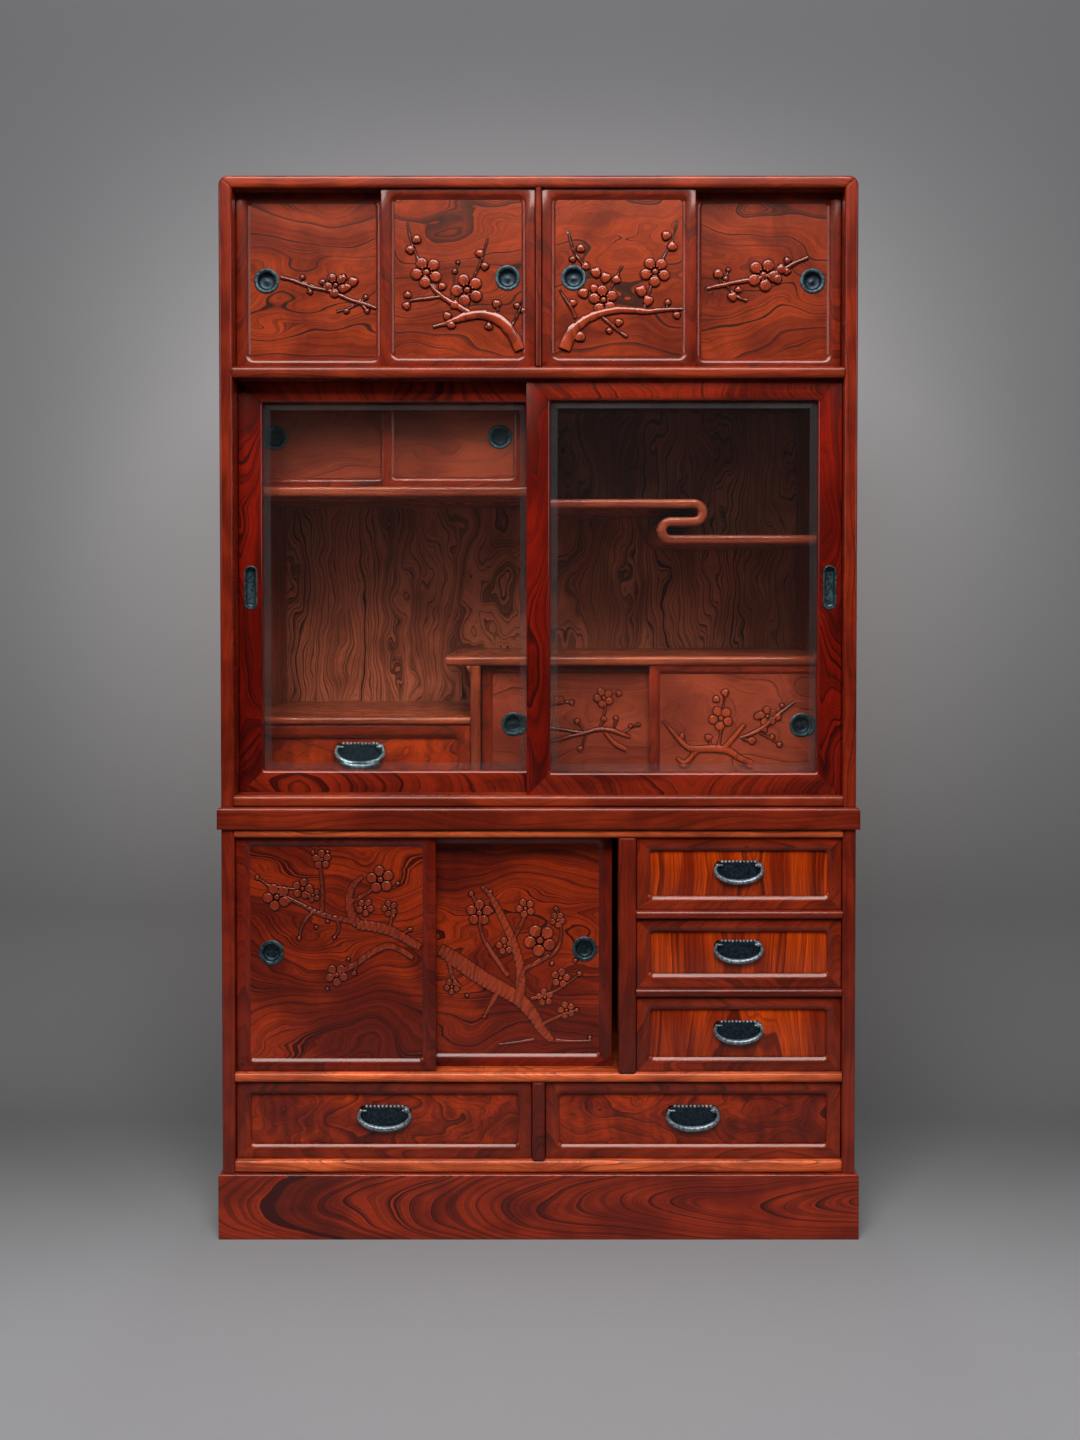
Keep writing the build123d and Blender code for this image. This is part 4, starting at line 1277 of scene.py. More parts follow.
@dataclass
class Bail:
    """Curved handle that bulges below its eyes and swells towards its middle."""

    half_width: float = 39.3 * MM
    half_height: float = 20.5 * MM
    drop: float = 8.0 * MM
    thin: float = 2.3
    thick: float = 4.4
    swell_reach: float = 0.8
    swell_power: float = 1.3
    stations: int = 17
    fineness: int = 4
    end_radius: float = 2.7 * MM
    pin_radius: float = 1.5 * MM
    pin_length: float = 9.0 * MM
    pin_chamfer: float = 0.2 * MM

    def build(self) -> bpy.types.Object:
        """Bend the bail round its own pivot line, at the middle of the frame.

        Returns:
            The template.
        """
        reach = math.acos(-self.drop / self.half_height)
        line: list[tuple[float, float, float, float]] = []
        for place in range(self.stations):
            turn = reach * (2.0 * place / (self.stations - 1) - 1.0)
            swell = max(math.cos(turn * self.swell_reach), 0.0) ** self.swell_power
            height = -self.drop - math.cos(turn) * self.half_height
            radius = self.thin + (self.thick - self.thin) * swell
            line.append((math.sin(turn) * self.half_width, 0.0, height, radius))
        piece = bend_rods("bail_template", [(self.fineness, line)])
        for side in (-1.0, 1.0):
            end = side * math.sin(reach) * self.half_width
            add_ball(14, 10, self.end_radius, (end, 0.0, 0.0))
            bpy.ops.mesh.primitive_cylinder_add(
                vertices=12, radius=self.pin_radius, depth=self.pin_length,
                location=(end - side * self.pin_length / 2, 0.0, 0.0), rotation=(0.0, math.pi / 2, 0.0),
            )
            bpy.ops.mesh.bevel(offset=self.pin_chamfer, segments=1, affect="EDGES")
        close_shells(TOUCHING)
        return dress(piece, [Board(BRIGHT_IRON)], Smoothing.BAIL)


# -------------------------------------------------------------------- carving
@dataclass(frozen=True)
class PlumCarving:
    """Plum branch in relief, in millimetres from the middle of the door's pull."""

    relief: Relief
    branches: tuple[tuple[Point, ...], ...]
    blossoms: tuple[tuple[float, float, float, float], ...]
    buds: tuple[Point, ...]
    bark_scale: float = 0.011
    # Width and height of the dark sheet round the carving, a painted shadow outline.
    cut_width: float = 1.9 * MM
    cut_height: float = 0.25 * MM
    root_depth: float = 0.9 * MM
    thick_radius: float = 4.0
    lift: float = 0.3
    fineness: int = 7
    scored_fineness: int = 20
    scored_height: float = 3.2 * MM
    ridge_gap: float = 8.5 * MM
    ridge_way: tuple[float, float] = (0.83, -0.55)
    groove_share: float = 0.8

    def build(
        self, name: str, middle: Vector, face: float, blossom: bpy.types.Object, bud: bpy.types.Object
    ) -> bpy.types.Object:
        """Carve the branch, its blossoms and its buds on a panel.

        Args:
            name: Name of the piece.
            middle: Middle of the pull.
            face: Depth of the panel's face.
            blossom: Template of a blossom whose petals have a radius of one metre.
            bud: Template of a bud with a radius of one metre.

        Returns:
            The carving.
        """
        piece = self.bend_branches(name, middle, face)
        growth = [(blossom, "blossom", x, z, size, math.radians(-turn)) for x, z, size, turn in self.blossoms]
        growth += [(bud, "bud", x, z, size, 0.7 * count) for count, (x, z, size) in enumerate(self.buds)]
        copies = []
        for count, (template, kind, x, z, size, turn) in enumerate(growth):
            place = Matrix.Translation((middle.x + x * MM, face, middle.z + z * MM))
            turned = place @ Matrix.Rotation(turn, 4, "Y") @ Matrix.Scale(size * MM, 4)
            copies.append(copied(template, f"{name}_{kind}_{count}", turned))
        select_only(piece, *copies)
        bpy.ops.object.join()
        # A fattened copy, pressed nearly flat on the panel and darkened all over, is a painted shadow outline
        # round the carving.
        shadow_outline = copied(piece, f"{name}_cut", Matrix.Identity(4))
        select_only(shadow_outline)
        bpy.ops.object.mode_set(mode="EDIT")
        bpy.ops.mesh.select_all(action="SELECT")
        bpy.ops.transform.shrink_fatten(value=self.cut_width)
        bpy.ops.object.mode_set(mode="OBJECT")
        self.press(shadow_outline, face, self.cut_height, 1.0)
        self.press(piece, face, self.relief.height, 0.0)
        select_only(piece, shadow_outline)
        bpy.ops.object.join()
        board = Board(CARVED_WOOD, Run.UPRIGHT, (middle.x, face, middle.z), len(name))
        return dress(piece, [board], Smoothing.CARVING)

    def bend_branches(self, name: str, middle: Vector, face: float) -> bpy.types.Object:
        """Run a swelling round rod along each branch and roughen its bark.

        Args:
            name: Name of the piece.
            middle: Middle of the pull.
            face: Depth of the panel's face.

        Returns:
            The branches as one mesh.
        """
        shallow = self.relief is Relief.SHALLOW
        rods: list[Rod] = []
        for branch in self.branches:
            line = []
            for x, z, radius in branch:
                raised = self.lift * min(radius, self.thick_radius) * MM
                line.append((middle.x + x * MM, face - raised, middle.z + z * MM, radius))
            scored = shallow and branch[0][2] > self.thick_radius
            rods.append((self.scored_fineness if scored else self.fineness, line))
        piece = bend_rods(name, rods)
        close_shells(10 * TOUCHING)
        bark = bpy.data.textures.get("bark") or bpy.data.textures.new("bark", "CLOUDS")
        bark.noise_scale = self.bark_scale
        rough = piece.modifiers.new("bark", "DISPLACE")
        rough.texture = bark
        rough.texture_coords = "LOCAL"
        rough.strength = self.relief.bark
        bpy.ops.object.modifier_apply(modifier="bark")
        if shallow:
            self.score(piece, face)
        return piece

    def score(self, piece: bpy.types.Object, face: float) -> None:
        """Score the thick branches across with the gouge.

        Args:
            piece: The branches.
            face: Depth of the panel's face.
        """
        across_x, across_z = self.ridge_way
        for vertex in piece.data.vertices:
            height = face - vertex.co.y
            if height > self.scored_height:
                along = (across_x * vertex.co.x + across_z * vertex.co.z) / self.ridge_gap
                groove = (0.5 + 0.5 * math.cos(2 * math.pi * along)) ** 3
                vertex.co.y = face - height * (1.0 - self.groove_share * groove)

    def press(self, piece: bpy.types.Object, face: float, limit: float, least: float) -> None:
        """Hold every point between the panel and a height, and mark it darker the nearer the panel it is, as
        painted shade.

        Args:
            piece: Joined carving.
            face: Depth of the panel's face.
            limit: Height that the carving nears.
            least: Lowest painted-shade mark of a point.
        """
        shade_marks = piece.data.attributes.new("foot", "FLOAT", "POINT").data
        for vertex, mark in zip(piece.data.vertices, shade_marks):
            height = face - vertex.co.y
            height = limit * math.tanh(height / limit) if height > 0.0 else max(height, -self.root_depth)
            vertex.co.y = face - height
            mark.value = min(max((0.8 - height / limit) / 0.5, least), 1.0)


@dataclass
class BlossomTools:
    """Templates that the carvings copy: a five-petalled blossom and a bud."""

    petals: int = 5
    petal_reach: float = 1.78
    petal_height: float = 0.85
    dip: float = 0.22
    stamens: int = 10
    stamen_reach: float = 0.95
    stamen: float = 0.16
    boss: float = 0.5
    tip: float = 0.62

    def blossom(self) -> bpy.types.Object:
        """Shape a blossom round the origin, facing the front.

        Returns:
            The template, with petals of radius one.
        """
        bench = Bench("blossom_template")
        for petal in range(self.petals):
            turn = 2 * math.pi * petal / self.petals
            place = (math.sin(turn) * self.petal_reach, -0.1, math.cos(turn) * self.petal_reach)
            add_ball(16, 10, 1.0, place)
            bpy.ops.transform.resize(value=(1.0, self.petal_height, 1.0), center_override=place)
            bench.pick("VERT", lambda v: v.co.y < -0.75)
            bpy.ops.transform.translate(value=(0.0, self.dip, 0.0))
            bench.store(0)
        for stamen in range(self.stamens):
            turn = 2 * math.pi * (stamen + 0.5) / self.stamens
            x, z = math.sin(turn) * self.stamen_reach, math.cos(turn) * self.stamen_reach
            add_ball(8, 6, self.stamen, (x, -0.62, z))
            bench.store(0)
        add_ball(14, 8, self.boss, (0.0, -0.35, 0.0))
        bench.store(0)
        return bench.leave()

    def bud(self) -> bpy.types.Object:
        """Shape a bud round the origin with the tips of its petals overlapping.

        Returns:
            The template, with a radius of one.
        """
        bench = Bench("bud_template")
        add_ball(16, 10, 1.0, (0.0, -0.15, 0.0))
        bench.pick("VERT", lambda v: v.co.z > 0.8)
        bpy.ops.transform.translate(value=(0.0, 0.0, 0.14))
        bench.store(0)
        for side in (-1.0, 1.0):
            add_ball(12, 8, self.tip, (side * 0.42, -0.3, -0.35))
            bench.store(0)
        return bench.leave()


CARVINGS: dict[str, PlumCarving] = {
    "far_left_top_door": PlumCarving(
        relief=Relief.DEEP,
        branches=(
            ((24.4, 6.2, 2.9), (47.6, 0.7, 2.7), (65.4, -7.8, 2.7), (85.3, -13.3, 2.7), (103, -15.5, 2.9),
             (118.6, -22.2, 3.1), (136.3, -31, 3.1), (154, -35.5, 3.3), (169.5, -39.9, 3.3),
             (182.4, -45.4, 2.9)),
            ((151.8, -37.7, 2), (138.5, -47.2, 1.8), (117.4, -51, 1.3)),
            ((157.3, -36.6, 2), (165.1, -28.8, 1.6)),
            ((159.6, -40.6, 1.8), (167.3, -49.4, 1.6)),
            ((67.6, -9.5, 1.8), (73.1, -17.7, 1.6)),
            ((55.4, -2.9, 1.8), (59.8, 5.1, 1.6)),
            ((109.7, -15.5, 2.2), (115.2, -5.5, 2)),
        ),
        blossoms=((115.2, -7.3, 7.5, 100),),
        buds=(
            (59.8, 6, 4), (72.5, -18.4, 4), (133, -49.9, 4.2), (165.1, -27.3, 4), (167.3, -50.3, 4),
            (144, -1.6, 7.5), (127.9, 5.1, 5.3), (93.1, -2.2, 4.9), (134.1, -10.4, 6.2),
        ),
    ),
    "left_top_door": PlumCarving(
        relief=Relief.DEEP,
        branches=(
            ((20.9, -118.4, 9.6), (10.5, -95.3, 9.2), (-6.3, -74.4, 9.2), (-27.2, -61.8, 8.4),
             (-49.2, -59.1, 8), (-70.2, -63.9, 7.1), (-86.9, -69.1, 5.4), (-99.5, -75.4, 4.2),
             (-122.6, -80.7, 2.7)),
            ((-63.9, -57.6, 5.4), (-82.8, -46.1, 4.6), (-99.5, -36.7, 4.2), (-114.2, -26.2, 3.8),
             (-127.8, -11.5, 2.9), (-136.2, 4.2, 2.3), (-146.7, 29.3, 2.1), (-154, 46.1, 1.9),
             (-160.3, 62.8, 1.7), (-165.1, 90.1, 1)),
            ((-107.9, -31, 3.1), (-128.8, -32.9, 2.9), (-160.3, -37.7, 2.5)),
            ((-70.2, -58.7, 2.5), (-64.9, -25.1, 1.9), (-56.6, 0, 1.7), (-46.7, 17.8, 1.7),
             (-40.4, 37.7, 1.5), (-32.5, 64.9, 0.8)),
            ((-91.1, -41.9, 1.9), (-88.6, -10.5, 1.5), (-88, 8.4, 1.3), (-82.1, 24.7, 1)),
            ((3.1, -85.9, 2.5), (13.2, -67, 1.9), (19.9, -52.4, 1.7), (29.3, -26.2, 1)),
            ((-27.2, -67, 2.1), (-32.1, -77.5, 1.7)),
            ((-15.7, -54.5, 2.1), (-16.8, -46.1, 1.7)),
            ((-94.3, -72.3, 1.9), (-99.5, -63.9, 1.7)),
        ),
        blossoms=((-133.5, 8.8, 9.4, 100), (-66.4, -20.5, 9.8, 92)),
        buds=(
            (-149.8, 62.8, 6.7), (-160.3, 46.1, 6.7), (-107.5, -14.2, 6.1), (-164.5, -28.3, 5.7),
            (-166.6, -46.1, 6.3), (-99.5, -62.8, 6.3), (-92.8, -77.5, 6.3), (-46.1, 39.8, 6.5),
            (-37.7, 18.9, 6.1), (-86.9, 10.5, 4.2), (-81.7, 25.1, 2.9), (-17.8, -42.9, 6.5),
            (-30.8, -80, 5.7), (15.7, -46.1, 4.8), (26.2, -54.5, 4.8), (-86.5, -44.4, 7.1),
        ),
    ),
    "right_top_door": PlumCarving(
        relief=Relief.DEEP,
        branches=(
            ((-15.7, -117.3, 10.1), (-6.3, -93.2, 9.6), (10.5, -74.4, 8), (31.4, -62.2, 6.7),
             (56.6, -55.1, 5.9), (79.6, -51.7, 5.4), (102.7, -53.8, 5), (123.6, -55.5, 4.2),
             (148.7, -52.4, 3.6), (180.2, -51.3, 2.5)),
            ((47.1, -64.9, 3.1), (60.8, -76.5, 2.9), (73.3, -86.9, 2.7), (88, -96.8, 2.5)),
            ((-22.6, -20.3, 1.9), (-14.7, -34.6, 2.3), (-5.2, -47.1, 2.7), (3.1, -66, 2.9)),
            ((-9, 76.9, 1), (-4.2, 55.5, 1.7), (2.5, 37.7, 1.9), (16.8, 19.9, 2.1)),
            ((115.2, -52.4, 2.3), (124, -22, 1.9), (133, -1, 1.9), (149.8, 38.8, 1.3), (160.3, 53.4, 1.3),
             (165.5, 72.3, 1), (170.7, 92.2, 0.8)),
            ((60.8, -51.3, 2.5), (55.5, -41.9, 2.3), (57.6, -24.1, 1.9), (70.8, 0, 1.7), (79.6, 18.9, 1.3)),
            ((152.9, -51.3, 1.9), (154.6, -41.9, 1.7)),
            ((165.5, -52.4, 1.9), (169.7, -59.7, 1.7)),
            ((6.3, -80.7, 2.5), (10.5, -94.3, 1.9)),
        ),
        blossoms=((134.1, 9.8, 9, 105), (49.2, -36.7, 8.8, 80)),
        buds=(
            (11.5, 48.2, 6.5), (-1.7, 30.4, 5), (152.9, 69.1, 7.3), (162.4, 51.3, 7.3), (111, -22, 8.6),
            (122.6, -37.7, 7.8), (155, -40.4, 4.8), (169.7, -61.4, 5.7), (74.4, -73.3, 6.1),
            (10.5, -96.8, 7.8), (58.7, -86.9, 4.8), (-1, -41.3, 5.7), (19.9, 18.9, 6.3), (36.7, 8.4, 8),
            (52.4, 0, 8), (70.2, -3.1, 6.7), (15.7, -25.1, 8), (33.5, -17.4, 6.7),
        ),
    ),
    "far_right_top_door": PlumCarving(
        relief=Relief.DEEP,
        branches=(
            ((-175.6, -12.7, 3.2), (-158.2, -8.9, 3.4), (-137.2, -3.8, 3.6), (-109.7, 0.4, 3.8),
             (-82.3, 5.9, 3.6), (-52.8, 15.8, 3.6), (-35.9, 27, 3.4), (-21.1, 33.3, 3.4), (-8, 39, 3.2)),
            ((-143.5, -6.3, 1.9), (-134, -20, 2.1), (-122.4, -29.1, 2.5), (-109.3, -32.7, 3)),
            ((-153, -5.3, 1.7), (-155.7, 9.5, 1.5)),
            ((-147.7, -4.6, 1.5), (-140.3, 17.9, 1.3)),
        ),
        blossoms=((-81.9, 9.5, 9.9, 118),),
        buds=(
            (-157.2, 11.6, 7.4), (-144.5, 3.8, 4.2), (-140.3, 17.9, 3.4), (-123.4, -14.8, 5.3),
            (-133.4, -26.4, 7.2), (-42.2, 33.3, 5.5), (-52.8, 19, 8), (-59.5, 3.2, 7.6), (-43.3, 15.8, 5.9),
        ),
    ),
    "left_ledge_door": PlumCarving(
        relief=Relief.MIDDLE,
        branches=(
            ((28.1, -43.7, 1.9), (72.8, -30.1, 2.4), (97.1, -21.8, 2.4), (126.2, -15.5, 2.9),
             (150.4, -7.8, 3.4), (174.7, -10.7, 3.9), (190.2, -18.4, 3.4), (204.8, -22.8, 2.4)),
            ((34, 0, 1.7), (72.8, -7.3, 1.9), (92.2, -10.7, 2.2), (126.2, -16.5, 2.4)),
            ((160.1, -14.6, 2.9), (169.9, -26.7, 3.4), (182, -37.9, 4.4), (198, -44.6, 3.9)),
            ((150.4, -7.8, 1.9), (160.1, 7.3, 1.7), (161.1, 41.3, 1.5)),
            ((174.7, -9.7, 1.7), (180.5, 7.3, 1.5)),
            ((190.2, -17.5, 1.7), (206.3, -3.9, 1.5), (219.4, 0, 1.2)),
            ((72.8, 31.5, 1.5), (82.5, 40.8, 1.5), (101.9, 37.9, 1.2)),
            ((126.2, -16.5, 1.5), (112.6, 3.9, 1.5)),
            ((126.2, -21.8, 1.5), (118.9, -42.7, 1.5)),
        ),
        blossoms=((157.7, 46.1, 6.3, 95),),
        buds=(
            (82.5, 41.3, 5.8), (101.9, 37.9, 4.4), (111.6, 4.9, 4.4), (158.2, 8.7, 4.4), (179.6, 9.7, 3.9),
            (204.8, -3.9, 3.4), (218.4, -1.5, 2.9), (116.5, -43.7, 4.4), (184.4, 53.4, 4.4),
            (58.2, -14.6, 3.9), (43.7, 24.3, 3.9),
        ),
    ),
    "right_ledge_door": PlumCarving(
        relief=Relief.MIDDLE,
        branches=(
            ((-239.8, 7.2, 1.9), (-216.7, -19.3, 2.9), (-201.3, -38.5, 4.3), (-183, -43.3, 5.8),
             (-158.9, -40.5, 5.8), (-134.8, -41.4, 5.8), (-118, -49.1, 5.3), (-106, -58.8, 4.8),
             (-85.7, -66, 4.3)),
            ((-183, -45.8, 4.8), (-195, -62.6, 4.3), (-207.1, -67.4, 3.9), (-215.8, -56.8, 2.9)),
            ((-134.8, -41.4, 5.3), (-119.4, -24.1, 4.3), (-99.2, 1, 2.9)),
            ((-105, -21.7, 2.4), (-77.1, -12.5, 3.4), (-57.8, 1.9, 3.4), (-37.6, 21.7, 2.4),
             (-10.6, 40.5, 1.4)),
            ((-72.2, -14.4, 1.9), (-53, -21.7, 1.9), (-37.6, -34.7, 1.4)),
            ((-156.5, -38.5, 2.4), (-161.3, -21.7, 1.9)),
            ((-144.5, -38.5, 2.4), (-138.7, -14.4, 1.9), (-139.7, 9.6, 1.4), (-132.4, 55.4, 1.2)),
            ((-101.1, -24.1, 1.9), (-86.7, -27.5, 1.9)),
            ((-202.3, -36.1, 1.9), (-206.1, -20.2, 1.4)),
        ),
        blossoms=((-139.7, 12, 7.7, 100), (-58.8, 15.4, 6.3, 80)),
        buds=(
            (-147.9, 45.3, 5.3), (-132.4, 56.3, 5.8), (-161.3, -21.7, 5.3), (-76.1, 15.4, 5.8),
            (-40.9, 14.4, 5.8), (-33.7, 33.7, 3.9), (-50.6, -20.2, 3.9), (-37.6, -34.2, 4.3),
            (-85.7, -27, 5.8), (-207.1, -19.3, 4.3), (-63.6, -8.7, 4.3),
        ),
    ),
    "left_lower_door": PlumCarving(
        relief=Relief.SHALLOW,
        branches=(
            ((247.4, 9.7, 5.8), (215.7, 29.2, 7.3), (186.5, 41.9, 8.3), (162.2, 45.3, 8.3),
             (142.7, 47.7, 7.8), (132, 67.2, 6.8), (128.1, 91.6, 5.8), (136.8, 118.3, 4.4),
             (152.4, 126.6, 2.9)),
            ((235.2, -8.3, 3.9), (203.6, 16.1, 4.9), (174.3, 6.3, 4.9), (145.1, -15.6, 4.4),
             (118.3, -30.2, 3.9), (94, -42.4, 2.4)),
            ((137.8, 52.6, 4.4), (103.7, 58.4, 3.9), (74.5, 67.2, 3.9), (51.1, 80.8, 2.9), (11.2, 100.3, 1.9),
             (-21.9, 125.6, 1.5)),
            ((84.3, 64.8, 3.4), (86.7, 101.3, 2.9), (81.8, 140.3, 2.4), (80.4, 168.5, 1.9)),
            ((133, 85.7, 3.4), (157.3, 96.4, 2.9), (179.2, 113.5, 1.9)),
            ((196.3, 41.9, 2.9), (202.1, 67.2, 1.9)),
            ((215.7, 30.7, 2.4), (231.3, 39, 1.5)),
            ((69.6, 68.2, 2.4), (45.3, 45.3, 2.4), (47.7, 25.8, 1.5)),
            ((108.6, 57.5, 2.4), (118.3, 38, 1.9), (103.7, 25.8, 1.5)),
            ((142.7, -15.6, 2.4), (137.8, -32.6, 1.5)),
            ((40.4, 106.2, 1.5), (-3.4, 112, 1.5)),
        ),
        blossoms=(
            (9.3, 93.5, 8.3, 95), (52.1, 107.1, 6.3, 60), (181.7, 122.7, 8.3, 80), (108.6, -37, 6.8, 110),
            (197.2, 74, 4.9, 90), (84.3, 155.8, 5.8, 75), (156.3, 76, 5.4, 40), (69.6, 96.4, 4.4, 20),
        ),
        buds=(
            (-22.9, 125.6, 3.4), (-3.4, 112, 2.9), (231.3, 39, 3.4), (94, 52.6, 2.9), (46.3, 24.3, 3.4),
            (104.7, 25.3, 2.9), (137.8, -34.1, 3.9), (210.9, 115.9, 2.9), (94, 168.5, 2.9), (69.6, 167, 2.9),
            (128.1, -10.7, 2.9), (74.5, 42.9, 2.9), (30.7, 85.7, 2.9), (203.6, 61.4, 2.9), (93, -60.4, 2.9),
        ),
    ),
    "right_lower_door": PlumCarving(
        relief=Relief.SHALLOW,
        branches=(
            ((-243.3, 0, 9.8), (-212.8, -19.7, 12.8), (-178.3, -45.3, 12.8), (-143.8, -65, 12.3),
             (-109.3, -83.7, 11.8), (-85.7, -110.8, 9.8), (-72.4, -137.9, 7.4), (-55.2, -153.7, 4.9)),
            ((-109.3, -83.7, 8.9), (-105.4, -44.3, 7.4), (-114.3, 0, 6.9), (-136.4, 49.2, 5.9),
             (-158.6, 93.6, 3.9), (-173.4, 105.9, 2.5)),
            ((-143.8, -65, 4.4), (-156.1, -93.6, 3.4), (-168.4, -113.3, 2.5)),
            ((-190.6, 93.6, 2), (-174.3, 64, 2.5), (-177.3, 39.4, 2.5), (-166, 4.9, 3), (-129, -44.3, 3.9)),
            ((-105.4, -34.5, 3.9), (-74.9, -19.7, 3.4), (-45.3, -4.9, 3), (-35.5, 34.5, 2), (-47.8, 69, 1.5)),
            ((-121.6, 14.8, 3), (-101.9, 44.3, 2.5), (-98.5, 71.4, 2)),
            ((-89.6, -83.7, 3), (-67.5, -79.8, 2.5), (-35.5, -64, 2), (-8.4, -41.9, 1.5)),
            ((-55.2, -153.7, 3), (-25.6, -157.6, 2.5), (11.3, -155.1, 2)),
            ((-84.7, -152.7, 2.5), (-114.3, -158.6, 2), (-143.8, -161.5, 1.5)),
            ((-227.5, -19.7, 3.9), (-225.1, -54.2, 3), (-207.8, -64, 2)),
            ((-72.4, -128.1, 2.5), (-40.4, -110.8, 2), (-13.3, -103.4, 1.5)),
        ),
        blossoms=(
            (-74.9, 14.8, 9.8, 100), (-177.3, 61.1, 7.9, 70), (-99.5, 69, 5.9, 95), (-45.3, 49.2, 4.9, 40),
            (-67, -81.8, 5.4, 80), (-134, 4.9, 5.4, 10), (-40.4, -49.2, 5.9, 60), (-30.5, -103.4, 5.4, 90),
            (-223.6, -64, 4.9, 30),
        ),
        buds=(
            (-190.6, 93.6, 3.9), (-158.6, 96, 3.4), (-8.4, -41.9, 3.9), (-47.8, 68, 3.4), (8.9, -150.2, 3.4),
            (-13.3, -103.4, 3.4), (-168.4, -114.3, 3), (-15.8, -19.7, 3.4), (-156.1, 64, 3),
            (-109.3, -19.7, 3.4), (-55.2, -24.6, 3.4), (-198, -78.8, 3),
        ),
    ),
}


# ---------------------------------------------------------------------- doors
@dataclass
class DoorStyle:
    """Sizes of the frame and the panel of one kind of wooden door."""

    member: float
    steps: Steps
    corner: float
    panel_thickness: float
    frame: LacqueredWood
    panel: LacqueredWood
    tongue: float = 2 * MM
    hole_radius: float = 15.3 * MM

    def recess(self) -> float:
        """Depth of the panel's face behind the frame's."""
        return sum(fall for _, fall in self.steps)


OUTER_STEPS = in_millimetres((1.0, 0.15), (2.0, 0.7), (2.0, 1.05), (2.0, 1.35), (2.0, 1.75))
INNER_STEPS = in_millimetres((1.0, 0.1), (3.0, 1.4), (3.0, 2.5))
UPPER_STYLE = DoorStyle(22 * MM, OUTER_STEPS, 15 * MM, 8 * MM, DOOR_FRAME, DOOR_PANEL)
LOWER_STYLE = DoorStyle(22 * MM, OUTER_STEPS, 15 * MM, 8 * MM, LOWER_FRAME, LOWER_PANEL)
INNER_STYLE = DoorStyle(19 * MM, INNER_STEPS, 12 * MM, 7 * MM, DOOR_FRAME, INNER_PANEL)


@dataclass
class Door:
    """Sliding leaf with a flush pull."""

    name: str
    seed: int

    def pull_middle(self) -> Vector:
        """Give the middle of the pull."""
        low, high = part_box(f"{self.name}_pull")
        return (low + high) / 2

    def set_pull(self, pull: bpy.types.Object, x: float, y: float, z: float) -> str:
        """Set the pull in the leaf.

        Args:
            pull: Template of the pull.
            x: Its middle, to the right.
            y: Depth of its seat.
            z: Its middle, upwards.

        Returns:
            Name of the piece.
        """
        cup = copied(pull, f"{self.name}_pull_piece", Matrix.Translation((x, y, z)))
        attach(cup, self.name)
        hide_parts(f"{self.name}_pull")
        return cup.name


@dataclass
class WoodenDoor(Door):
    """Framed sliding door with a flush round pull and, on most, a carving."""

    style: DoorStyle

    def build(self, pull: bpy.types.Object, blossom: bpy.types.Object, bud: bpy.types.Object) -> list[str]:
        """Build the leaf, the pull and the carving, and put them on the door's body.

        Args:
            pull: Template of the pull.
            blossom: Template of a blossom.
            bud: Template of a bud.

        Returns:
            Names of the pieces.
        """
        low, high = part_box(f"{self.name}_leaf")
        middle, style = self.pull_middle(), self.style
        face = low.y + style.recess()
        bench = Bench(f"{self.name}_leaf_piece")
        bench.frame(low, high, style.member, style.steps, style.corner, (style.frame, style.frame), self.seed)
        covered = style.member - style.tongue
        panel_low = Vector((low.x + covered, face, low.z + covered))
        panel_high = Vector((high.x - covered, face + style.panel_thickness, high.z - covered))
        board = Board(style.panel, Run.ACROSS, tuple((panel_low + panel_high) / 2), self.seed)
        bench.bored_board(panel_low, panel_high, board, (middle.x, middle.z, style.hole_radius, 0.0))
        leaf = bench.done()
        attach(leaf, self.name)
        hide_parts(f"{self.name}_leaf")
        names = [leaf.name, self.set_pull(pull, middle.x, face, middle.z)]
        if self.name in CARVINGS:
            relief = CARVINGS[self.name].build(f"{self.name}_carving", middle, face, blossom, bud)
            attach(relief, self.name)
            names.append(relief.name)
        return names


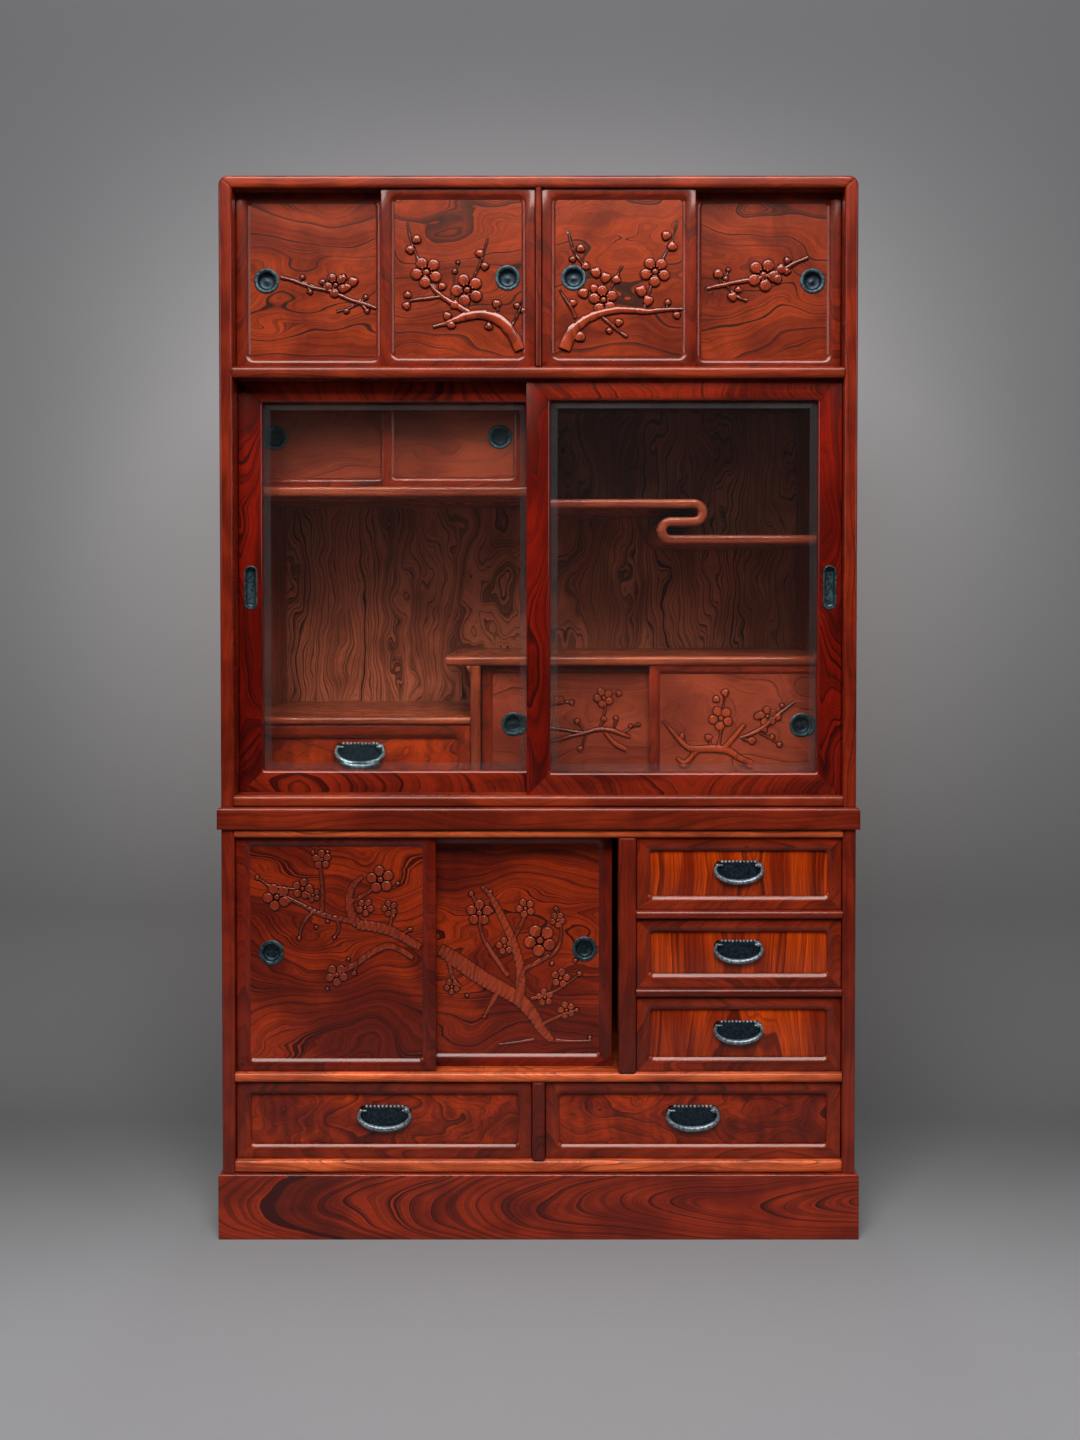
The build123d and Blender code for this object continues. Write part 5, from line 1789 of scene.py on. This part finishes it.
@dataclass
class GlassDoor(Door):
    """Sliding door with a bevelled pane between a front frame and a rebated back frame."""

    member: float = 39 * MM
    front_layer: float = 9 * MM
    rebate: float = 8 * MM
    pane_thickness: float = 5 * MM
    steps: Steps = in_millimetres((0.8, 0.2), (2.2, 1.1), (1.4, 1.7))
    corner: float = 8 * MM
    pull_radius: float = 9.3 * MM
    pull_stretch: float = 51.0 * MM
    bevel_width: float = 20.0 * MM
    bevel_depth: float = 2.4 * MM

    def build(self, pull: bpy.types.Object) -> list[str]:
        """Build the frame and the pull, and give the pane its glass.

        Args:
            pull: Template of the pull.

        Returns:
            Names of the pieces.
        """
        low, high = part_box(f"{self.name}_frame")
        middle = self.pull_middle()
        lap = low.y + self.front_layer
        narrow = self.member - self.rebate
        woods = (GLASS_STILE, GLASS_RAIL)
        bench = Bench(f"{self.name}_frame_piece")
        hole = (middle.x, middle.z, self.pull_radius, self.pull_stretch)
        front_high = Vector((high.x, lap, high.z))
        bench.frame(low, front_high, self.member, self.steps, self.corner, woods, self.seed, hole)
        back_low = Vector((low.x, lap, low.z))
        bench.frame(back_low, high, narrow, (), 0.0, woods, self.seed + 1, edge=0.0)
        bead_low = Vector((low.x + narrow, lap + self.pane_thickness, low.z + narrow))
        bead_high = Vector((high.x - narrow, high.y, high.z - narrow))
        bench.frame(bead_low, bead_high, self.rebate, (), 0.0, woods, self.seed + 2, edge=0.0)
        frame_piece = bench.done()
        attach(frame_piece, self.name)
        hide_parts(f"{self.name}_frame")
        return [frame_piece.name, self.set_pull(pull, middle.x, low.y, middle.z), self.build_pane()]

    def build_pane(self) -> str:
        """Cut the pane, with a wide flat bevel round the front.

        Returns:
            Name of the piece.
        """
        low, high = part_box(f"{self.name}_pane")
        slope = low.y + self.bevel_depth
        bench = Bench(f"{self.name}_pane_piece")
        bench.rectangle(low.x, high.x, low.z, high.z, slope)
        sink([(self.bevel_width, -self.bevel_depth)])
        bench.pick("EDGE", open_edge)
        extrude_edges(high.y - slope)
        bpy.ops.mesh.edge_face_add()
        # The bevel strip takes the rough glass whose bluish-grey tint is painted reflection.
        clear, ground = bench.new_board(Board(GLASS)), bench.new_board(Board(GROUND_AND_REFLECTION_GLASS))
        margin = self.bevel_depth / 20
        bench.store(lambda middle: ground if low.y + margin < middle.y < slope - margin else clear)
        pane = bench.done(Smoothing.GLASS)
        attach(pane, self.name)
        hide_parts(f"{self.name}_pane")
        return pane.name


# -------------------------------------------------------------------- drawers
@dataclass
class Drawer:
    """Drawer with a moulded front, a half-moon plate and a hanging bail."""

    name: str
    front: LacqueredWood
    front_run: Run
    seed: int
    handle_share: float = 1.0
    member: float = 22 * MM
    moulding: float = 8 * MM
    steps: Steps = OUTER_STEPS
    corner: float = 15 * MM
    board: float = 12 * MM
    board_edge: float = 0.4 * MM
    side: float = 10 * MM
    side_drop: float = 10 * MM
    bottom: float = 6 * MM
    bottom_lift: float = 3 * MM

    def build(self, plate: bpy.types.Object, bail: bpy.types.Object) -> list[str]:
        """Build the box, the plate and the bail.

        Args:
            plate: Template of the plate.
            bail: Template of the bail.

        Returns:
            Names of the pieces.
        """
        low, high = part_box(f"{self.name}_box")
        board_y = low.y + self.moulding
        box_y = board_y + self.board
        centre = ((low.x + high.x) / 2, board_y, (low.z + high.z) / 2)
        bench = Bench(f"{self.name}_box_piece")
        front_high = Vector((high.x, board_y, high.z))
        woods = (FRONT_FRAME, FRONT_FRAME)
        bench.frame(low, front_high, self.member, self.steps, self.corner, woods, self.seed)
        front_low = Vector((low.x, board_y, low.z))
        front = Board(self.front, self.front_run, centre, self.seed)
        bench.plank(front_low, Vector((high.x, box_y, high.z)), front, self.board_edge)
        self.build_box(bench, low, high, box_y)
        box = bench.done()
        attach(box, self.name)
        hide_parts(f"{self.name}_box")
        size = Matrix.Diagonal((self.handle_share, 1.0, self.handle_share, 1.0))
        seat = Matrix.Translation(centre) @ size
        plate_piece = copied(plate, f"{self.name}_plate_piece", seat)
        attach(plate_piece, self.name)
        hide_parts(f"{self.name}_handle_plate")
        bail_low, bail_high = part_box(f"{self.name}_bail")
        hinge = (centre[0], (bail_low.y + bail_high.y) / 2, centre[2] + HandlePlate.eye_z * self.handle_share)
        bail_piece = copied(bail, f"{self.name}_bail_piece", Matrix.Translation(hinge) @ size)
        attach(bail_piece, f"{self.name}_bail")
        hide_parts(f"{self.name}_bail")
        return [box.name, plate_piece.name, bail_piece.name]

    def build_box(self, bench: Bench, low: Vector, high: Vector, box_y: float) -> None:
        """Build the sides, the back and the bottom behind the front.

        Args:
            bench: Bench with the front on it.
            low: Lowest corner of the drawer.
            high: Highest corner of the drawer.
            box_y: Depth of the back of the front board.
        """
        top = high.z - self.side_drop
        left, right, back = low.x + self.side, high.x - self.side, high.y - self.side
        floor = low.z + self.bottom_lift
        rows = (
            ((low.x, box_y, low.z), (left, high.y, top), Run.DEEP),
            ((right, box_y, low.z), (high.x, high.y, top), Run.DEEP),
            ((left, back, low.z), (right, high.y, top), Run.ACROSS),
            ((left, box_y, floor), (right, back, floor + self.bottom), Run.ACROSS),
        )
        for count, (first, last, run) in enumerate(rows):
            corner, other = Vector(first), Vector(last)
            board = Board(PLAIN_WOOD, run, tuple((corner + other) / 2), self.seed * 7 + count)
            bench.plank(corner, other, board)


# ----------------------------------------------------------------------- case
@dataclass
class Carcass:
    """The fixed woodwork, which keeps its CAD shape and gets its finishes."""

    finishes: dict[str, Finish] = field(
        default_factory=lambda: {
            "plinth": PLINTH_WOOD,
            "lower_sides": CASE_UPRIGHT,
            "lower_bottom": LIGHTENED_RAIL_WOOD,
            "track_shelf": LIGHTENED_RAIL_WOOD,
            "lower_top": LIGHTENED_RAIL_WOOD,
            "lower_partitions": PARTITION_WOOD,
            "waist_board": SHADED_WAIST_WOOD,
            "upper_sides": CASE_UPRIGHT,
            "upper_bottom": CASE_ACROSS,
            "middle_board": CASE_ACROSS,
            "top_board": CASE_ACROSS,
            "top_partition": CASE_UPRIGHT,
            "back_panels": BACK_WOOD,
            "hanging_cabinet": HANGING_WOOD,
            "stagger_shelves": HANGING_WOOD,
            "ledge_cabinet": LEDGE_WOOD,
        }
    )

    def dress(self) -> list[str]:
        """Give every slot of each fixed node its finish.

        Returns:
            Names of the nodes.
        """
        for node, finish in self.finishes.items():
            for place in frame["nodes"][node].material_slots:
                place.material = finish.material()
        return list(self.finishes)


# --------------------------------------------------------------------- studio
@dataclass(frozen=True)
class Lamp:
    """Rectangular soft lamp."""

    name: str
    place: Point
    target: Point
    size: tuple[float, float]
    power: float
    spread: float = 180.0

    def hang(self) -> None:
        """Hang the lamp and aim it."""
        bpy.ops.object.light_add(type="AREA", location=self.place)
        lamp = bpy.context.object
        lamp.name = self.name
        lamp.data.shape = "RECTANGLE"
        lamp.data.size, lamp.data.size_y = self.size
        lamp.data.energy = self.power
        lamp.data.spread = math.radians(self.spread)
        lamp.visible_camera = False
        lamp.rotation_euler = (Vector(self.target) - Vector(self.place)).to_track_quat("-Z", "Y").to_euler()


LAMPS = (
    Lamp("overhead_lamp", (-0.12, -2.7, 3.75), (0.0, 0.0, 0.7), (3.0, 1.8), 210.0),
    Lamp("left_lamp", (-3.2, -2.0, 2.0), (0.0, 0.0, 0.9), (1.0, 1.6), 9.0, 120.0),
    Lamp("right_lamp", (3.2, -2.0, 2.0), (0.0, 0.0, 0.9), (1.0, 1.6), 8.0, 120.0),
    Lamp("back_lamp", (0.0, 2.6, 1.2), (0.0, 0.0, 0.9), (0.8, 1.2), 7.0, 45.0),
)


@dataclass
class Studio:
    """Pale sweep, soft lamps and the camera."""

    sweep_half_width: float = 6.0
    sweep_lap: float = 0.02
    sweep_lift: float = 0.3 * MM
    sweep_turn: float = 0.28
    sweep_radius: float = 0.34
    sweep_height: float = 4.0
    camera_place: Point = (0.025, -2.315, 1.075)
    camera_tilt: float = 89.0
    lens: float = 31.9
    shift_x: float = -0.0095
    shift_y: float = -0.0745

    def sweep_paint(self, name: str, one_sided: bool) -> bpy.types.Material:
        """Build the grey of the floor or the wall, with painted shade where they meet and a painted pool of
        light on the wall behind the cabinet.

        Args:
            name: Name of the material.
            one_sided: Whether it shows only from the front and casts no shadow.

        Returns:
            The material.
        """
        made, sheet, shader = blank_material(name)
        place = sheet.add("ShaderNodeTexCoord").outputs["Object"]
        x, y, z = sheet.split(place)
        # Painted shade: the floor darkens towards the foot of the wall and lightens again behind it; far in
        # front it is darker.
        floor = sheet.mix("RGBA", sheet.smooth(y, -0.5, 0.28), shade(146, 145, 147), shade(99, 99, 100))
        floor = sheet.mix("RGBA", sheet.smooth(y, 0.62, 1.4), floor, shade(132, 131, 133))
        floor = sheet.mix("RGBA", sheet.smooth(y, -0.95, -1.9), floor, shade(66, 66, 66))
        # Painted pool of light: the wall is brightest behind the cabinet and darkens to the sides; its foot
        # takes the floor's painted shade, and it darkens towards the top as painted falloff of light.
        glow_falloff = sheet.smooth(sheet.math("ABSOLUTE", sheet.math("ADD", x, 0.02)), 0.2, 1.35)
        middle = sheet.mix("RGBA", glow_falloff, shade(188, 187, 188), shade(118, 118, 119))
        wall = sheet.mix("RGBA", sheet.smooth(z, -0.15, 1.1), floor, middle)
        colour = sheet.mix("RGBA", sheet.smooth(z, 1.1, 2.4), wall, shade(101, 101, 103))
        grit = sheet.noise(place, 3.0, 3.0, 0.6).outputs[0]
        colour = sheet.mix("RGBA", sheet.math("MULTIPLY", grit, 0.05), colour, shade(90, 90, 90))
        rough = sheet.smooth(grit, 0.3, 0.7, 0.92, 1.0)
        sheet.feed_all(shader, Base_Color=colour, Roughness=rough, Specular_IOR_Level=0.2)
        if one_sided:
            behind = sheet.add("ShaderNodeNewGeometry").outputs["Backfacing"]
            shadow = sheet.add("ShaderNodeLightPath").outputs["Is Shadow Ray"]
            sheet.let_through(shader, sheet.math("MAXIMUM", behind, shadow))
        return made

    def build_floor(self) -> None:
        """Lay the floor under the cabinet and behind the wall."""
        bpy.ops.object.select_all(action="DESELECT")
        bpy.ops.mesh.primitive_plane_add(size=2 * self.sweep_half_width)
        floor = bpy.context.object
        floor.name = "studio_floor"
        floor.data.materials.append(self.sweep_paint("studio floor", False))

    def build_wall(self) -> None:
        """Bend the wall up from the floor behind the cabinet."""
        bench = Bench("studio_wall")
        bpy.ops.mesh.primitive_plane_add(size=1.0)
        strip = (2 * self.sweep_half_width, 2 * self.sweep_lap, 1.0)
        bpy.ops.transform.resize(value=strip, center_override=ORIGIN)
        bpy.ops.transform.translate(value=(0.0, self.sweep_turn - self.sweep_lap, self.sweep_lift))
        bench.pick("EDGE", lambda e: all(v.co.y > self.sweep_turn - MM for v in e.verts))
        centre = (0.0, self.sweep_turn, self.sweep_radius + self.sweep_lift)
        bpy.ops.mesh.spin(steps=24, angle=-math.pi / 2, center=centre, axis=(1.0, 0.0, 0.0))
        extrude_edges(0.0, self.sweep_height)
        bench.everything()
        bpy.ops.mesh.remove_doubles(threshold=0.1 * MM)
        bpy.ops.mesh.normals_make_consistent(inside=False)
        if next(iter(bench.mesh().faces)).normal.z < 0.0:
            bpy.ops.mesh.flip_normals()
        wall = bench.leave()
        bpy.ops.object.shade_smooth()
        wall.data.materials.append(self.sweep_paint("studio wall", True))

    def light(self) -> None:
        """Hang the lamps and set the world, which is brighter for the camera alone."""
        for lamp in LAMPS:
            lamp.hang()
        world = bpy.data.worlds.new("studio")
        world.use_nodes = True
        sheet = NodeSheet(world.node_tree)
        height = sheet.split(sheet.add("ShaderNodeTexCoord").outputs["Generated"])[2]
        strength = sheet.smooth(height, 0.1, 0.9, 0.07, 0.75)
        seen = sheet.math("MULTIPLY", sheet.add("ShaderNodeLightPath").outputs["Is Camera Ray"], 4.0)
        sheet.feed_all(world.node_tree.nodes["Background"], Strength=sheet.math("MAXIMUM", strength, seen))
        bpy.context.scene.world = world

    def aim(self) -> None:
        """Set up the camera."""
        turn = (math.radians(self.camera_tilt), 0.0, 0.0)
        bpy.ops.object.camera_add(location=self.camera_place, rotation=turn)
        camera = bpy.context.object
        camera.name = "camera"
        camera.data.lens = self.lens
        camera.data.sensor_width = 36.0
        camera.data.sensor_fit = "AUTO"
        camera.data.shift_x = self.shift_x
        camera.data.shift_y = self.shift_y
        camera.data.clip_start = 0.05
        bpy.context.scene.camera = camera

    def build(self) -> None:
        """Build the floor, the wall, the lamps and the camera."""
        self.build_floor()
        self.build_wall()
        self.light()
        self.aim()
        bpy.context.scene.view_settings.view_transform = "Standard"


# -------------------------------------------------------------------- cabinet
@dataclass
class Cabinet:
    """The whole cabinet: its carcass, doors and drawers."""

    wooden_doors: tuple[WoodenDoor, ...] = (
        WoodenDoor("far_left_top_door", 11, UPPER_STYLE),
        WoodenDoor("left_top_door", 12, UPPER_STYLE),
        WoodenDoor("right_top_door", 13, UPPER_STYLE),
        WoodenDoor("far_right_top_door", 14, UPPER_STYLE),
        WoodenDoor("left_hanging_door", 21, INNER_STYLE),
        WoodenDoor("right_hanging_door", 22, INNER_STYLE),
        WoodenDoor("left_ledge_door", 31, INNER_STYLE),
        WoodenDoor("right_ledge_door", 32, INNER_STYLE),
        WoodenDoor("left_lower_door", 41, LOWER_STYLE),
        WoodenDoor("right_lower_door", 42, LOWER_STYLE),
    )
    glass_doors: tuple[GlassDoor, ...] = (GlassDoor("left_glass_door", 51), GlassDoor("right_glass_door", 61))
    drawers: tuple[Drawer, ...] = (
        Drawer("left_wide_drawer", WIDE_FRONT, Run.ACROSS, 71, 1.09),
        Drawer("right_wide_drawer", WIDE_FRONT, Run.ACROSS, 72, 1.09),
        Drawer("bottom_small_drawer", SMALL_FRONT, Run.UPRIGHT, 73),
        Drawer("middle_small_drawer", SMALL_FRONT, Run.UPRIGHT, 74),
        Drawer("top_small_drawer", SMALL_FRONT, Run.UPRIGHT, 75),
        Drawer("inner_drawer", WIDE_FRONT, Run.ACROSS, 76, 1.06),
    )

    def build(self) -> None:
        """Build every sub-assembly, and log the carcass nodes that it dresses."""
        for name in Carcass().dress():
            LOG.info("dressed %s", name)
        tools = BlossomTools()
        blossom, bud = tools.blossom(), tools.bud()
        round_pull, long_pull = RoundPull().build(), LongPull().build()
        plate, bail = HandlePlate().build(), Bail().build()
        for door in self.wooden_doors:
            self.report(door.build(round_pull, blossom, bud))
        for door in self.glass_doors:
            self.report(door.build(long_pull))
        for drawer in self.drawers:
            self.report(drawer.build(plate, bail))
        for template in (blossom, bud, round_pull, long_pull, plate, bail):
            bpy.data.objects.remove(template, do_unlink=True)

    @staticmethod
    def report(names: list[str]) -> None:
        """Take the pieces of one sub-assembly, and do nothing with them."""


def main() -> None:
    """Build the cabinet and the studio."""
    logging.basicConfig(level=logging.INFO, format="%(name)s: %(message)s")
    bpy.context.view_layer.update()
    studio = Studio()
    studio.build()
    Cabinet().build()
    bpy.context.view_layer.update()


if __name__ == "__main__":
    main()
